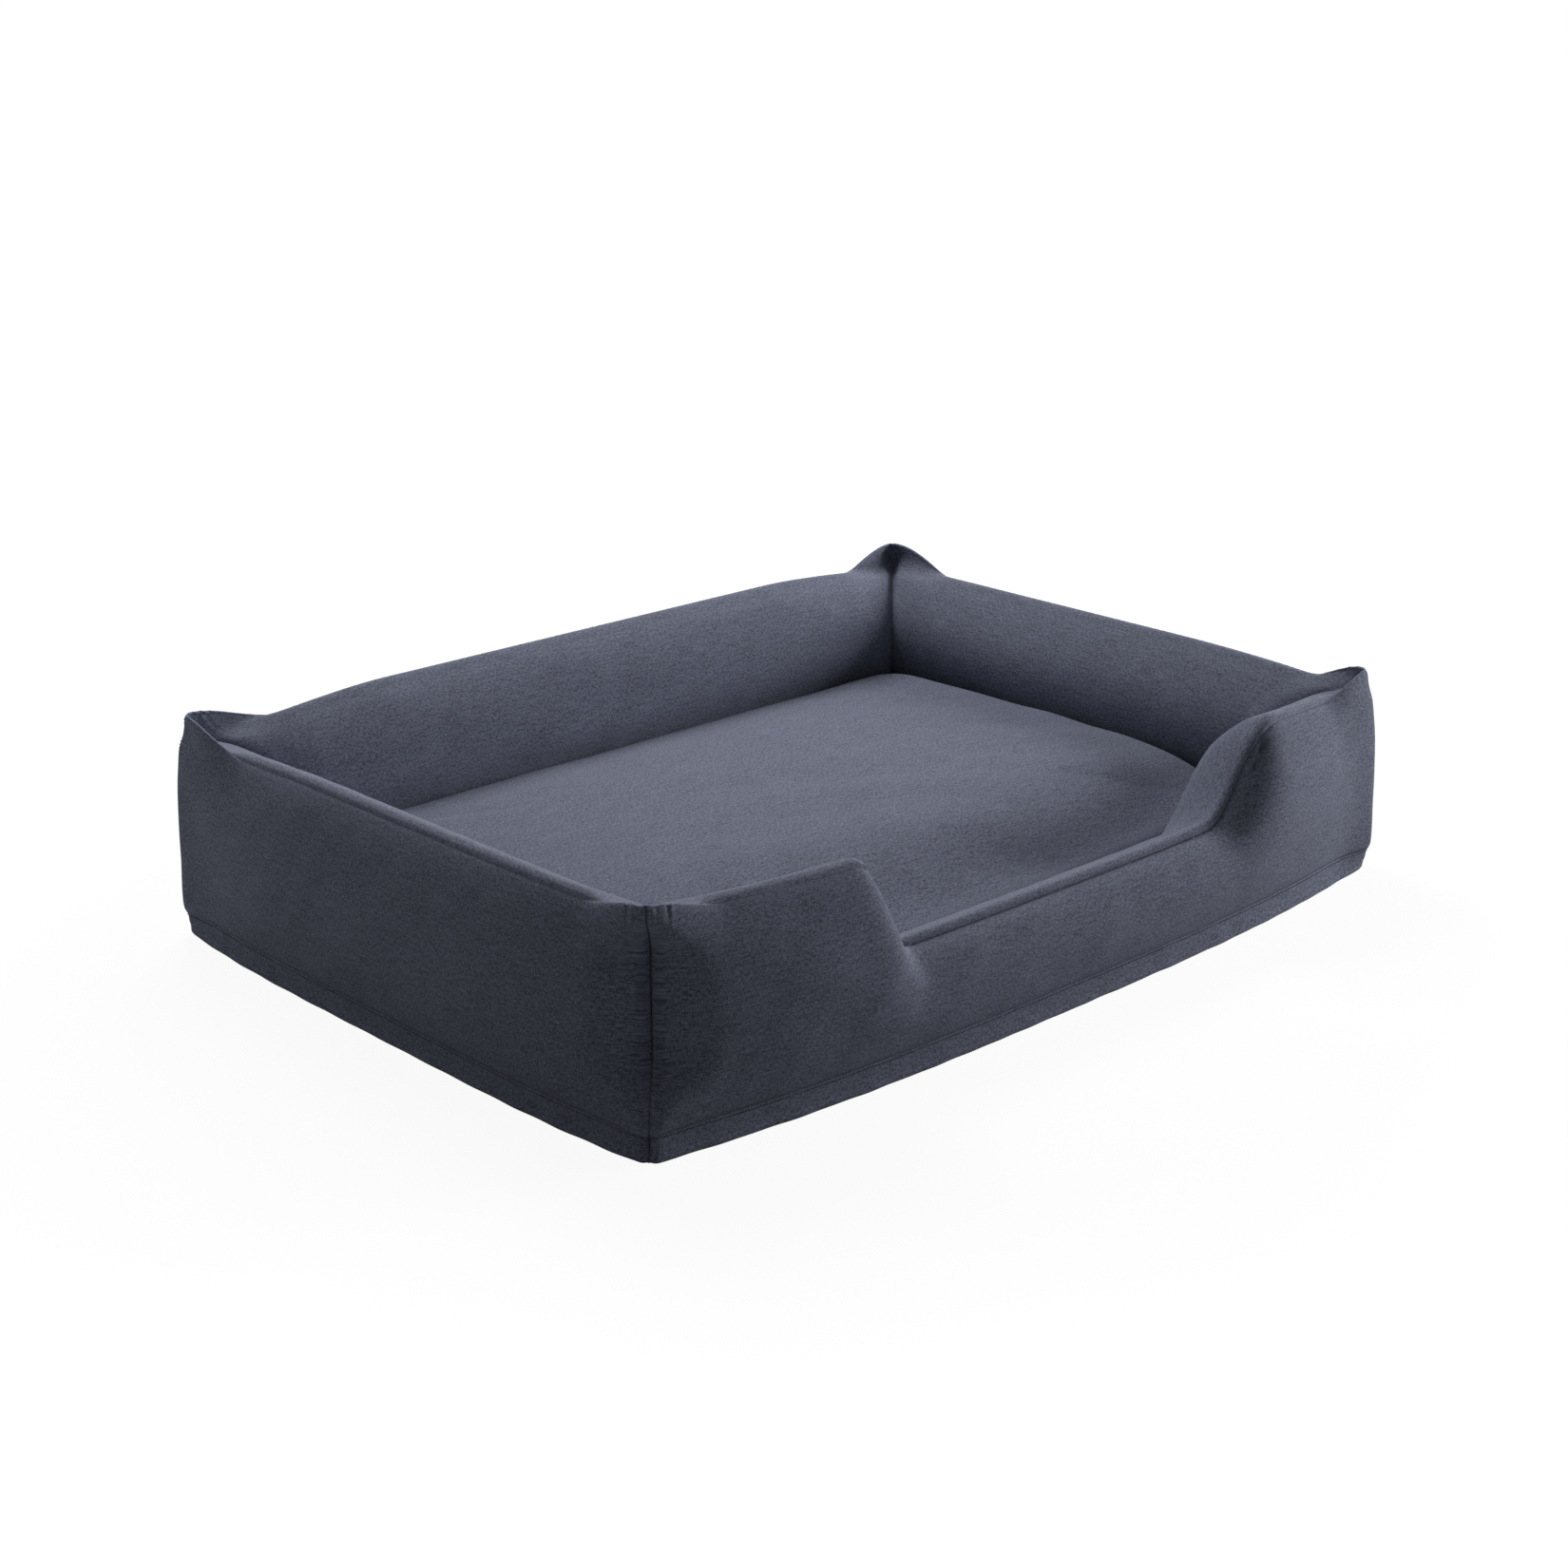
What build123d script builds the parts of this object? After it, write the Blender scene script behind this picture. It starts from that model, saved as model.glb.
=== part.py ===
from build123d import *
import os
from math import atan2, cos, hypot, pi, radians, sin, sqrt, tan

os.makedirs("parts", exist_ok=True)

# Base rectangle of the bed, corner to corner, and how far each base line bows out
base_width = 1100.0
base_depth = 770.0
front_bow = 36.0
side_bow = 16.0
bow_sharpness = {"front": 2.9, "right": 4.2, "left": 4.2, "back": 2.0}
inner_bow_share = 0.6

# Walls meet at the corners on planes turned by this many degrees
mitre_turn = 45.0

# Cover cloth, its base band, and the slack between one soft layer and the next
cloth = 2.0
band_height = 25.0
soft_gap = 0.5

# Walls: thickness at the base, height of each crest, and the low entry in the front
wall_thickness = 98.0
front_height = 230.0
right_height = 233.0
back_height = 242.0
left_height = 235.0
corner_height = 226.0
dip_height = 128.0
dip_half_width = 255.0
dip_run = 120.0
corner_run = 150.0

# Wall section: outward bulge, top seam, crest, and the foot of the inner face
wall_bulge = 14.0
corner_bulge = 4.0
seam_inset = 13.0
seam_drop = 5.0
crest_inset = 30.0
foot_inset = 10.0
belly_share = 0.47
dip_belly_share = 0.45

# Corner peaks, where the seams of two walls meet and stand up
peak_height = 256.0
peak_inset = 9.0
peak_run = 75.0

# Air chambers: film, weld gap at the mitres, lower outer corner, cross webs and links
film = 0.8
mitre_gap = 0.7
chamber_foot = 16.0
web_film = 0.6
web_slack = 0.4
web_vent_radius = 12.0
link_radius = 10.0
link_height = 95.0
link_inset = 52.0
link_reach = 8.0

# Back zip: chain centre above the floor, opening, tapes, teeth and stops
zip_height = 16.0
zip_half_length = 430.0
zip_half_opening = 9.0
tape_thickness = 1.0
tape_inset = 0.5
chain_half_gap = 0.7
tooth_height = 1.6
tooth_root = 1.0
tooth_pitch = 4.0
tooth_width = 2.2
tooth_thickness = 2.8
stop_length = 4.0

# Zip slider and pull
slider_length = 12.0
slider_half_height = 4.5
slider_plate = 1.4
slider_gap = 0.3
neck_length = 4.0
neck_half_width = 0.5
lug_reach = 3.0
lug_thickness = 1.2
lug_half_length = 1.6
eye_half_height = 1.9
pull_pin_radius = 0.8
pull_pin_offset = 1.6
pull_eye_radius = 1.4
pull_length = 24.0
pull_width = 7.0
pull_thickness = 1.2
pin_clearance = 0.05

# Inflation valves: tube, seat, poppet, spring, flange, lid and cap
valve_bore = 12.0
valve_wall = 2.0
valve_depth = 20.0
valve_flange_radius = 20.0
valve_flange_offset = 4.6
valve_flange = 1.5
valve_clearance = 0.3
seat_thickness = 2.0
seat_vent_radius = 2.2
seat_vent_circle = 7.5
seat_vents = 4
stem_radius = 2.5
stem_clearance = 0.06
seal_radius = 10.5
seal_thickness = 2.0
button_radius = 5.4
button_thickness = 2.0
button_recess = 5.0
spring_radius = 4.3
spring_wire = 0.45
spring_turns = 5
rim_radius = 20.5
rim_lift = 0.6
rim_thickness = 1.2
lid_radius = 14.5
lid_thickness = 2.0
plug_depth = 2.0
lid_pin_radius = 0.8
lid_eye_radius = 1.8
lid_eye_half_width = 3.0
lid_lug_width = 2.0
lid_pin_offset = 17.5
cap_thickness = 3.0
cap_recess = 0.5
cap_pocket = 1.6
cap_bar_half_width = 1.8
wall_valve_x = 300.0
mattress_valve_x = 280.0
mattress_valve_y = -150.0

# Mattress: clearance to the walls, edge rounding, height at the edge and crown
mattress_clearance = 3.0
mattress_edge = 45.0
mattress_side_height = 112.0
mattress_crown = 22.0
mattress_seam_share = 0.5
mattress_corner_share = 0.25
mattress_lift_gap = 0.3
mattress_web_count = 7

# Sides of the bed, anticlockwise from the front: heading, half length and reach from the middle,
# bow of the base line, and height of the crest
sides = ["front", "right", "back", "left"]
headings = {"front": 0.0, "right": 90.0, "back": 180.0, "left": 270.0}
half_runs = {
    "front": base_width / 2,
    "right": base_depth / 2,
    "back": base_width / 2,
    "left": base_depth / 2,
}
reaches = {
    "front": base_depth / 2,
    "right": base_width / 2,
    "back": base_depth / 2,
    "left": base_width / 2,
}
bows = {"front": front_bow, "right": side_bow, "back": 0.0, "left": side_bow}
heights = {
    "front": front_height,
    "right": right_height,
    "back": back_height,
    "left": left_height,
}

# Stations of the wall sections: near a corner as shares of the wall thickness, in the
# front as shares of the entry's half width, and elsewhere as shares of the half length
corner_station_shares = [0.0, 0.26, 0.62, 1.27]
dip_station_shares = [0.0, 0.60, 0.79, 0.90, 1.0, 1.10, 1.22, 1.42]
plain_station_shares = [0.0, 0.34]

# Outer face: shares of the bulge, of the seam's inset, and of the rise from band to seam
outer_face_shares = [
    (0.00, 0.00, 0.00),
    (0.66, 0.00, 0.20),
    (1.00, 0.00, 0.44),
    (0.75, 0.25, 0.76),
    (0.00, 1.00, 1.00),
]


def smooth(share):
    """An even ramp from 0 to 1 with level ends."""
    held = min(max(share, 0.0), 1.0)
    return held * held * (3 - 2 * held)


def bow_at(side, along):
    """How far the base line stands out from the straight line between its corners."""
    return bows[side] * (1 - min(abs(along) / half_runs[side], 1.0) ** bow_sharpness[side])


def crest_at(side, along):
    """Height of the wall's crest: lower at the corners, and down to the entry in front."""
    edge = half_runs[side] - abs(along)
    crest = corner_height + (heights[side] - corner_height) * smooth(edge / corner_run)
    if side == "front":
        inside_dip = dip_half_width + dip_run / 2 - abs(along)
        crest -= (crest - dip_height) * smooth(inside_dip / dip_run)
    return crest


def wall_profile(side, along, peaked):
    """Points of the wall's surface from band to top seam, and from there over to the foot."""
    height = heights[side]
    edge = half_runs[side] - abs(along)
    crest = crest_at(side, along)
    bulge = corner_bulge + (wall_bulge * crest / height - corner_bulge) * smooth(edge / corner_run)
    peak = max(1 - edge / peak_run, 0.0) ** 2 if peaked else 0.0
    seam_height = crest - seam_drop + peak * (peak_height - crest + seam_drop)
    seam_place = seam_inset + peak * (peak_inset - seam_inset)
    rise = seam_height - band_height
    outer = [
        (seam_place * inset_share - bulge * bulge_share, band_height + rise * rise_share)
        for bulge_share, inset_share, rise_share in outer_face_shares
    ]
    lowered = (height - crest) / height
    thickness = wall_thickness + (1 - inner_bow_share) * bow_at(side, along)
    belly = crest * (belly_share + (dip_belly_share - belly_share) * lowered)
    shoulder_place = (seam_place + crest_inset) / 2
    shoulder_height = crest + (seam_height - crest) / 4
    top = [(seam_place, seam_height), (shoulder_place, shoulder_height)]
    for quarter in range(5):
        turn = quarter * pi / 8
        place = crest_inset + (thickness - crest_inset) * sin(turn)
        top.append((place, belly + (crest - belly) * cos(turn)))
    top.append((thickness - foot_inset / 4, belly / 2))
    top.append((thickness - foot_inset, cloth))
    return outer, top


def heading_between(start, end):
    """The unit direction from one section point to another, or none if they are one."""
    length = hypot(end[0] - start[0], end[1] - start[1])
    return ((end[0] - start[0]) / length, (end[1] - start[1]) / length) if length else (0, 0)


def inset_points(points, depth):
    """The same points moved into the wall by a depth, level at the first and the last."""
    moved = [(points[0][0] + depth, points[0][1])]
    for before, here, after in zip(points, points[1:], points[2:]):
        arriving = heading_between(before, here)
        leaving = heading_between(here, after)
        run = (arriving[0] + leaving[0], arriving[1] + leaving[1])
        length = hypot(run[0], run[1])
        moved.append((here[0] + depth * run[1] / length, here[1] - depth * run[0] / length))
    moved.append((points[-1][0] - depth, points[-1][1]))
    return moved


def cover_section(side, along, depth):
    """Outer and top points of the cover at a depth below its outer surface."""
    outer, top = wall_profile(side, along, True)
    moved = inset_points(outer + top[1:], depth)
    return moved[: len(outer)], moved[len(outer) - 1 :]


def chamber_section(side, along, depth):
    """Points round an air chamber from its lower outer corner to its inner foot."""
    outer, top = wall_profile(side, along, False)
    moved = inset_points(outer + top[1:], depth)
    belly = moved[2]
    foot = (chamber_foot + depth - cloth, depth)
    run = foot[0] - belly[0]
    rise = belly[1] - foot[1]
    chord = hypot(run, rise)
    sagitta = chord / 2 * tan(atan2(run, rise) / 2)
    middle_place = (foot[0] + belly[0]) / 2 - sagitta * rise / chord
    middle_height = (foot[1] + belly[1]) / 2 - sagitta * run / chord
    inner_foot = (moved[-1][0], depth)
    return [foot, (middle_place, middle_height)] + moved[2:-1] + [inner_foot]


def side_point(side, along, place, level):
    """A point given along a side, inward from its base line, and above the floor."""
    turn = radians(headings[side])
    inward = place - reaches[side]
    return (
        along * cos(turn) - inward * sin(turn),
        along * sin(turn) + inward * cos(turn),
        level,
    )


def wall_stations(side, gap):
    """Places along a side with the slant of their planes, mitred at both ends."""
    half_run = half_runs[side]
    if side == "front":
        middles = [share * dip_half_width for share in dip_station_shares]
    else:
        middles = [share * half_run for share in plain_station_shares]
    ends = []
    for share in corner_station_shares:
        edge = share * wall_thickness if share else gap
        ends.append((half_run - edge, 1 - share / corner_station_shares[-1]))
    near = [(-along, -slant) for along, slant in ends]
    far = [(along, slant) for along, slant in reversed(ends)]
    low = [(-along, 0.0) for along in reversed(middles[1:])]
    high = [(along, 0.0) for along in middles]
    return near + low + high + far


def station_plane(side, along, slant):
    """The upright plane of a section: X runs inward along the slant, Y runs up."""
    place = -bow_at(side, along)
    shift = slant * wall_thickness
    start = Vector(*side_point(side, along, place, 0))
    inside = Vector(*side_point(side, along - shift, place + wall_thickness, 0))
    inward = (inside - start).normalized()
    return Plane(origin=start, x_dir=inward, z_dir=inward.cross(Vector(0, 0, 1)))


def stretched(points, slant):
    """Points drawn out along a slanted plane, so that they keep their inset."""
    return [(place * sqrt(1 + slant * slant), level) for place, level in points]


def strip_section(side, along, slant, panel):
    """A cover panel's section, from its outer surface to one cloth further in."""
    shown = stretched(cover_section(side, along, 0)[panel], slant)
    hidden = stretched(cover_section(side, along, cloth)[panel], slant)
    with BuildSketch(station_plane(side, along, slant)) as section:
        with BuildLine():
            for first in range(0, len(shown) - 2, 2):
                ThreePointArc(*shown[first : first + 3])
                ThreePointArc(*hidden[first : first + 3])
            Line(shown[0], hidden[0])
            Line(shown[-1], hidden[-1])
        make_face()
    return section.sketch


def band_section(side, along, slant):
    """The base band's section: one cloth thick and upright on the base panel."""
    low, high = stretched([(0, cloth), (cloth, band_height)], slant)
    with BuildSketch(station_plane(side, along, slant)) as section:
        with Locations(low):
            Rectangle(high[0] - low[0], high[1] - low[1], align=Align.MIN)
    return section.sketch


def block_section(side, along, slant, depth):
    """The face inside an air chamber's outline, flat along the floor."""
    points = stretched(chamber_section(side, along, depth), slant)
    with BuildSketch(station_plane(side, along, slant)) as section:
        with BuildLine():
            for first in range(0, len(points) - 2, 2):
                ThreePointArc(*points[first : first + 3])
            Line(points[-1], points[0])
        make_face()
    return section.sketch


def panel_sections(side, panel):
    """A cover panel's sections along one side: panel 0 is the outer face, 1 the top."""
    return [strip_section(side, *station, panel) for station in wall_stations(side, 0)]


def block_sections(side, depth, gap):
    """The sections along one side of the block inside a chamber's outline."""
    return [block_section(side, *station, depth) for station in wall_stations(side, gap)]


def save(built, label):
    """Name a finished piece and write it."""
    built.part.label = label
    export_step(built.part, f"parts/{label}.step")


def quarter_turns(plane, rise):
    """Points and headings along a coil on a plane, a quarter turn apart, climbing from zero."""
    steps = []
    slope = rise / (2 * pi * spring_turns)
    for quarter in range(4 * spring_turns + 1):
        turn = quarter * pi / 2
        point = Vector(spring_radius * cos(turn), spring_radius * sin(turn), slope * turn)
        heading = Vector(-spring_radius * sin(turn), spring_radius * cos(turn), slope)
        start = plane.from_local_coords(point)
        ahead = plane.from_local_coords(point + heading)
        steps.append((start, (ahead - start).normalized()))
    return steps


def coil_spring(plane, start, rise):
    """A wire coil round the plane's Z axis: two arcs that share a heading per quarter turn."""
    steps = quarter_turns(plane.offset(start), rise)
    with BuildPart() as spring:
        with BuildLine() as wire:
            for (first, leaving), (last, arriving) in zip(steps, steps[1:]):
                across = last - first
                square = 2 * (1 - leaving.dot(arriving))
                along = across.dot(leaving + arriving)
                reach = (sqrt(along * along + square * across.dot(across)) - along) / square
                middle = (first + leaving * reach + last - arriving * reach) / 2
                TangentArc(first, middle, tangent=leaving)
                TangentArc(middle, last, tangent=last - arriving * reach - middle)
        with BuildSketch(Plane(origin=steps[0][0], z_dir=steps[0][1])):
            Circle(spring_wire)
        sweep(path=wire.wires()[0])
    return spring


# Planes of the two valves: X across, Y up or back, Z out of the valve's mouth
valve_tube_radius = valve_bore + valve_wall
wall_valve_height = wall_profile("back", -wall_valve_x, True)[0][2][1]
wall_valve_plane = Plane(
    origin=side_point("back", -wall_valve_x, -wall_bulge, wall_valve_height),
    x_dir=(-1, 0, 0),
    z_dir=(0, 1, 0),
)
mattress_base = cloth + mattress_lift_gap
mattress_valve_plane = Plane(
    origin=(mattress_valve_x, mattress_valve_y, mattress_base),
    x_dir=(1, 0, 0),
    z_dir=(0, 0, -1),
)

# Levels and places of the wall valve's lid, its pin and the lugs that hold the pin
lid_level = rim_lift + rim_thickness + valve_clearance
lid_pin_level = lid_level + lid_eye_radius
lid_lug_place = lid_eye_half_width + valve_clearance + lid_lug_width / 2
lid_pin_plane = Plane(
    origin=wall_valve_plane.from_local_coords((0, lid_pin_offset, lid_pin_level)),
    z_dir=(1, 0, 0),
)


def valve_body(plane, rimmed):
    """A welded tube with an inner flange and a vented seat, open at its mouth."""
    with BuildPart() as body:
        with BuildSketch(plane):
            Circle(valve_tube_radius)
        extrude(amount=-valve_depth)
        with BuildSketch(plane.offset(-valve_flange_offset)):
            Circle(valve_flange_radius)
        extrude(amount=-valve_flange)
        if rimmed:
            with BuildSketch(plane):
                Circle(valve_tube_radius)
            extrude(amount=rim_lift)
            with BuildSketch(plane.offset(rim_lift)):
                Circle(rim_radius)
            extrude(amount=rim_thickness)
            with BuildSketch(plane.offset(rim_lift + rim_thickness)):
                with GridLocations(2 * lid_lug_place, 2 * lid_pin_offset, 2, 2):
                    Rectangle(lid_lug_width, 2 * lid_eye_radius)
            extrude(amount=lid_pin_level + lid_eye_radius - rim_lift - rim_thickness)
            with BuildSketch(plane.offset(rim_lift + rim_thickness)):
                with Locations((0, -lid_pin_offset)):
                    Rectangle(4 * lid_lug_place, 2 * lid_eye_radius + valve_clearance)
            extrude(amount=valve_depth, mode=Mode.SUBTRACT)
            with BuildSketch(lid_pin_plane):
                Circle(lid_pin_radius)
            extrude(amount=valve_bore, both=True, mode=Mode.SUBTRACT)
        with BuildSketch(plane.offset(-valve_depth + seat_thickness)):
            Circle(valve_bore)
        extrude(amount=2 * valve_depth, mode=Mode.SUBTRACT)
        with BuildSketch(plane.offset(-valve_depth)):
            Circle(stem_radius + stem_clearance)
            with PolarLocations(seat_vent_circle, seat_vents):
                Circle(seat_vent_radius)
        extrude(amount=seat_thickness, mode=Mode.SUBTRACT)
    return body


def valve_poppet(plane):
    """A seal under the seat on a stem that a button presses inward."""
    button_level = -button_recess - button_thickness
    with BuildPart() as poppet:
        with BuildSketch(plane.offset(-valve_depth - valve_clearance - seal_thickness)):
            Circle(seal_radius)
        extrude(amount=seal_thickness)
        with BuildSketch(plane.offset(-valve_depth - valve_clearance)):
            Circle(stem_radius)
        extrude(amount=valve_depth + valve_clearance + button_level)
        with BuildSketch(plane.offset(button_level)):
            Circle(button_radius)
        extrude(amount=button_thickness)
        fillet(poppet.edges().group_by(Axis(plane.origin, plane.z_dir))[-1], button_thickness / 4)
    return poppet


# Base panel: one flat sheet under the whole bed
with BuildPart() as base_panel:
    with BuildSketch():
        with BuildLine():
            for side in sides:
                edge_points = [
                    side_point(side, along, -bow_at(side, along), 0)[:2]
                    for along, slant in wall_stations(side, 0)
                ]
                Polyline(*edge_points)
        make_face()
    extrude(amount=cloth)
save(base_panel, "base_panel")

# Base band: a low strip round the foot, cut away behind for the zip
for side in sides:
    with BuildPart() as base_band:
        loft([band_section(side, *station) for station in wall_stations(side, 0)], ruled=True)
        if side == "back":
            with Locations((0, base_depth / 2, zip_height)):
                Box(2 * zip_half_length, 2 * band_height, 2 * zip_half_opening, mode=Mode.SUBTRACT)
    save(base_band, f"base_band_{side}")

# Outer wall panels: from the band up to the top seam
for side in sides:
    with BuildPart() as outer_panel:
        loft(panel_sections(side, 0), ruled=True)
        if side == "back":
            with BuildSketch(wall_valve_plane):
                Circle(valve_tube_radius + valve_clearance)
            extrude(amount=wall_bulge, both=True, mode=Mode.SUBTRACT)
    save(outer_panel, f"outer_panel_{side}")

# Top and inner wall panels: from the top seam over the crest and down to the base panel
for side in sides:
    with BuildPart() as inner_panel:
        loft(panel_sections(side, 1), ruled=True)
    save(inner_panel, f"inner_panel_{side}")

# Air chambers: thin welded shells inside the walls, open at the links and the valve
chamber_depth = cloth + soft_gap
for side in sides:
    link_planes = []
    for end in (-1, 1):
        along = end * (half_runs[side] - link_inset)
        place = side_point(side, along, link_inset, link_height)
        across = radians(headings[side] + end * mitre_turn)
        link_planes.append(Plane(origin=place, z_dir=(cos(across), sin(across), 0)))
    with BuildPart() as wall_chamber:
        loft(block_sections(side, chamber_depth, mitre_gap), ruled=True)
        hollow = block_sections(side, chamber_depth + film, mitre_gap + 2 * film)
        loft(hollow, ruled=True, mode=Mode.SUBTRACT)
        for plane in link_planes:
            with BuildSketch(plane):
                Circle(link_radius)
            extrude(amount=link_reach, both=True, mode=Mode.SUBTRACT)
        if side == "back":
            with BuildSketch(wall_valve_plane):
                Circle(valve_tube_radius)
            extrude(amount=wall_bulge, both=True, mode=Mode.SUBTRACT)
    save(wall_chamber, f"wall_chamber_{side}")

# Air links: short tubes welded through the end walls where two chambers meet
corners = [(1, -1), (1, 1), (-1, 1), (-1, -1)]
with BuildPart() as air_links:
    for across, back in corners:
        place = (
            across * (base_width / 2 - link_inset),
            back * (base_depth / 2 - link_inset),
            link_height,
        )
        with BuildSketch(Plane(origin=place, z_dir=(across, -back, 0))):
            Circle(link_radius)
            Circle(link_radius - film, mode=Mode.SUBTRACT)
        extrude(amount=link_reach, both=True)
save(air_links, "air_links")

# Cross webs: upright sheets that tie the two faces of a tall chamber together
web_depth = chamber_depth + film + web_slack
for side in sides:
    webs = [along for along, slant in wall_stations(side, 0) if slant == 0][::2]
    with BuildPart() as wall_webs:
        for along in webs:
            extrude(block_section(side, along, 0, web_depth), web_film / 2, both=True)
            with BuildSketch(station_plane(side, along, 0)):
                with Locations((wall_thickness / 2, dip_height / 2)):
                    Circle(web_vent_radius)
            extrude(amount=web_film, both=True, mode=Mode.SUBTRACT)
    save(wall_webs, f"wall_webs_{side}")

# Back zip: two tapes in the band's opening, with a row of teeth on each
chain_plane = Plane(
    origin=side_point("back", 0, tape_inset + tape_thickness / 2, zip_height),
    x_dir=(-1, 0, 0),
    z_dir=(0, 1, 0),
)
root_level = chain_half_gap + tooth_height
tape_level = root_level + tooth_root
teeth_half_length = zip_half_length - stop_length
teeth_count = int(2 * teeth_half_length / tooth_pitch) - 1
for row, up in (("upper", 1), ("lower", -1)):
    with BuildPart() as zip_tape:
        with BuildSketch(chain_plane):
            with Locations((0, up * (tape_level + zip_half_opening) / 2)):
                Rectangle(2 * zip_half_length, zip_half_opening - tape_level)
        extrude(amount=tape_thickness / 2, both=True)
    save(zip_tape, f"zip_tape_{row}")

    comb = [(-teeth_half_length, up * tape_level), (-teeth_half_length, up * root_level)]
    for tooth in range(teeth_count):
        start = (tooth - teeth_count / 2) * tooth_pitch + up * tooth_pitch / 4
        comb.append((start, up * root_level))
        comb.append((start, up * chain_half_gap))
        comb.append((start + tooth_width, up * chain_half_gap))
        comb.append((start + tooth_width, up * root_level))
    comb.append((teeth_half_length, up * root_level))
    comb.append((teeth_half_length, up * tape_level))
    with BuildPart() as zip_teeth:
        with BuildSketch(chain_plane):
            with BuildLine():
                Polyline(*comb, close=True)
            make_face()
        extrude(amount=tooth_thickness / 2, both=True)
    save(zip_teeth, f"zip_teeth_{row}")

with BuildPart() as zip_stops:
    with BuildSketch(chain_plane):
        stop_height = tape_level - chain_half_gap
        with GridLocations(
            2 * zip_half_length - stop_length, 2 * chain_half_gap + stop_height, 2, 2
        ):
            Rectangle(stop_length, stop_height)
    extrude(amount=tooth_thickness / 2, both=True)
save(zip_stops, "zip_stops")

# Zip slider: two plates joined by a thin neck in the chain's gap, with lugs and a pin
slider_along = zip_half_length - stop_length - slider_length
slider_plane = chain_plane.shift_origin(
    side_point("back", -slider_along, tape_inset + tape_thickness / 2, zip_height)
)
plate_face = tooth_thickness / 2 + slider_gap
pull_axis_level = plate_face + slider_plate + pull_pin_offset
with BuildPart() as zip_slider:
    for face in (plate_face, -plate_face - slider_plate):
        with BuildSketch(slider_plane.offset(face)):
            RectangleRounded(slider_length, 2 * slider_half_height, slider_half_height / 2)
        extrude(amount=slider_plate)
    with BuildSketch(slider_plane):
        with Locations(((neck_length - slider_length) / 2, 0)):
            Rectangle(neck_length, 2 * neck_half_width)
    extrude(amount=plate_face + slider_plate / 2, both=True)
    with BuildSketch(slider_plane.offset(plate_face + slider_plate)):
        lug_level = eye_half_height + pin_clearance + lug_thickness / 2
        with GridLocations(lug_thickness, 2 * lug_level, 1, 2):
            Rectangle(2 * lug_half_length, lug_thickness)
    extrude(amount=lug_reach)
    pin_plane = Plane(
        origin=slider_plane.from_local_coords((0, 0, pull_axis_level)), z_dir=(0, 0, 1)
    )
    with BuildSketch(pin_plane):
        Circle(pull_pin_radius)
    extrude(amount=lug_level, both=True)
save(zip_slider, "zip_slider")

# Zip pull: a flat tab with an eye round the slider's pin, lying back along the chain
pull_plane = slider_plane.offset(pull_axis_level)
with BuildPart() as zip_pull:
    with BuildSketch(pull_plane):
        with Locations((pull_length / 4, 0)):
            Rectangle(pull_length / 2, 2 * eye_half_height)
        with Locations((pull_length / 2 + lug_half_length, 0)):
            RectangleRounded(pull_length - pull_width / 2, pull_width, pull_width / 3)
    extrude(amount=pull_thickness / 2, both=True)
    with BuildSketch(pin_plane):
        Circle(pull_eye_radius)
    extrude(amount=eye_half_height, both=True)
    with BuildSketch(pin_plane):
        Circle(pull_pin_radius + pin_clearance)
    extrude(amount=lug_level, both=True, mode=Mode.SUBTRACT)
save(zip_pull, "zip_pull")

# Wall valve in the back: a rimmed body with a hinged lid on a pin
save(valve_body(wall_valve_plane, True), "wall_valve_body")
save(valve_poppet(wall_valve_plane), "wall_valve_poppet")
spring_start = seat_thickness + spring_wire + stem_clearance - valve_depth
spring_end = -button_recess - button_thickness - spring_wire - stem_clearance
save(coil_spring(wall_valve_plane, spring_start, spring_end - spring_start), "wall_valve_spring")

with BuildPart() as wall_valve_pin:
    with BuildSketch(lid_pin_plane):
        Circle(lid_pin_radius)
    extrude(amount=lid_lug_place + lid_lug_width / 2, both=True)
save(wall_valve_pin, "wall_valve_pin")

with BuildPart() as wall_valve_lid:
    with BuildSketch(wall_valve_plane.offset(lid_level)):
        Circle(lid_radius)
        with Locations((0, lid_pin_offset / 2)):
            Rectangle(2 * lid_eye_half_width, lid_pin_offset)
    extrude(amount=lid_thickness)
    with BuildSketch(wall_valve_plane.offset(lid_level)):
        Circle(valve_bore - valve_clearance)
        Circle(valve_bore - valve_clearance - valve_wall, mode=Mode.SUBTRACT)
    extrude(amount=-plug_depth)
    with BuildSketch(lid_pin_plane):
        Circle(lid_eye_radius)
    extrude(amount=lid_eye_half_width, both=True)
    with BuildSketch(lid_pin_plane):
        Circle(lid_pin_radius + stem_clearance)
    extrude(amount=lid_radius, both=True, mode=Mode.SUBTRACT)
save(wall_valve_lid, "wall_valve_lid")

# Mattress form: inset and height of each level, from the flat bottom up to the crown
mattress_length = base_width - 2 * (wall_thickness + mattress_clearance)
mattress_depth = base_depth - 2 * (wall_thickness + mattress_clearance)
edge_level_shares = [
    (0.58, 0.0),
    (0.24, 0.045),
    (0.05, 0.16),
    (0.0, 0.36),
    (0.0, 0.56),
    (0.07, 0.76),
    (0.24, 0.91),
    (0.55, 1.0),
]
crown_level_shares = [(0.18, 0.36), (0.33, 0.64), (0.55, 0.86), (0.80, 0.97), (0.92, 1.0)]
mattress_levels = [
    (mattress_edge * inset_share, mattress_side_height * rise_share)
    for inset_share, rise_share in edge_level_shares
] + [
    (mattress_depth / 2 * inset_share, mattress_side_height + mattress_crown * rise_share)
    for inset_share, rise_share in crown_level_shares
]


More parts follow.
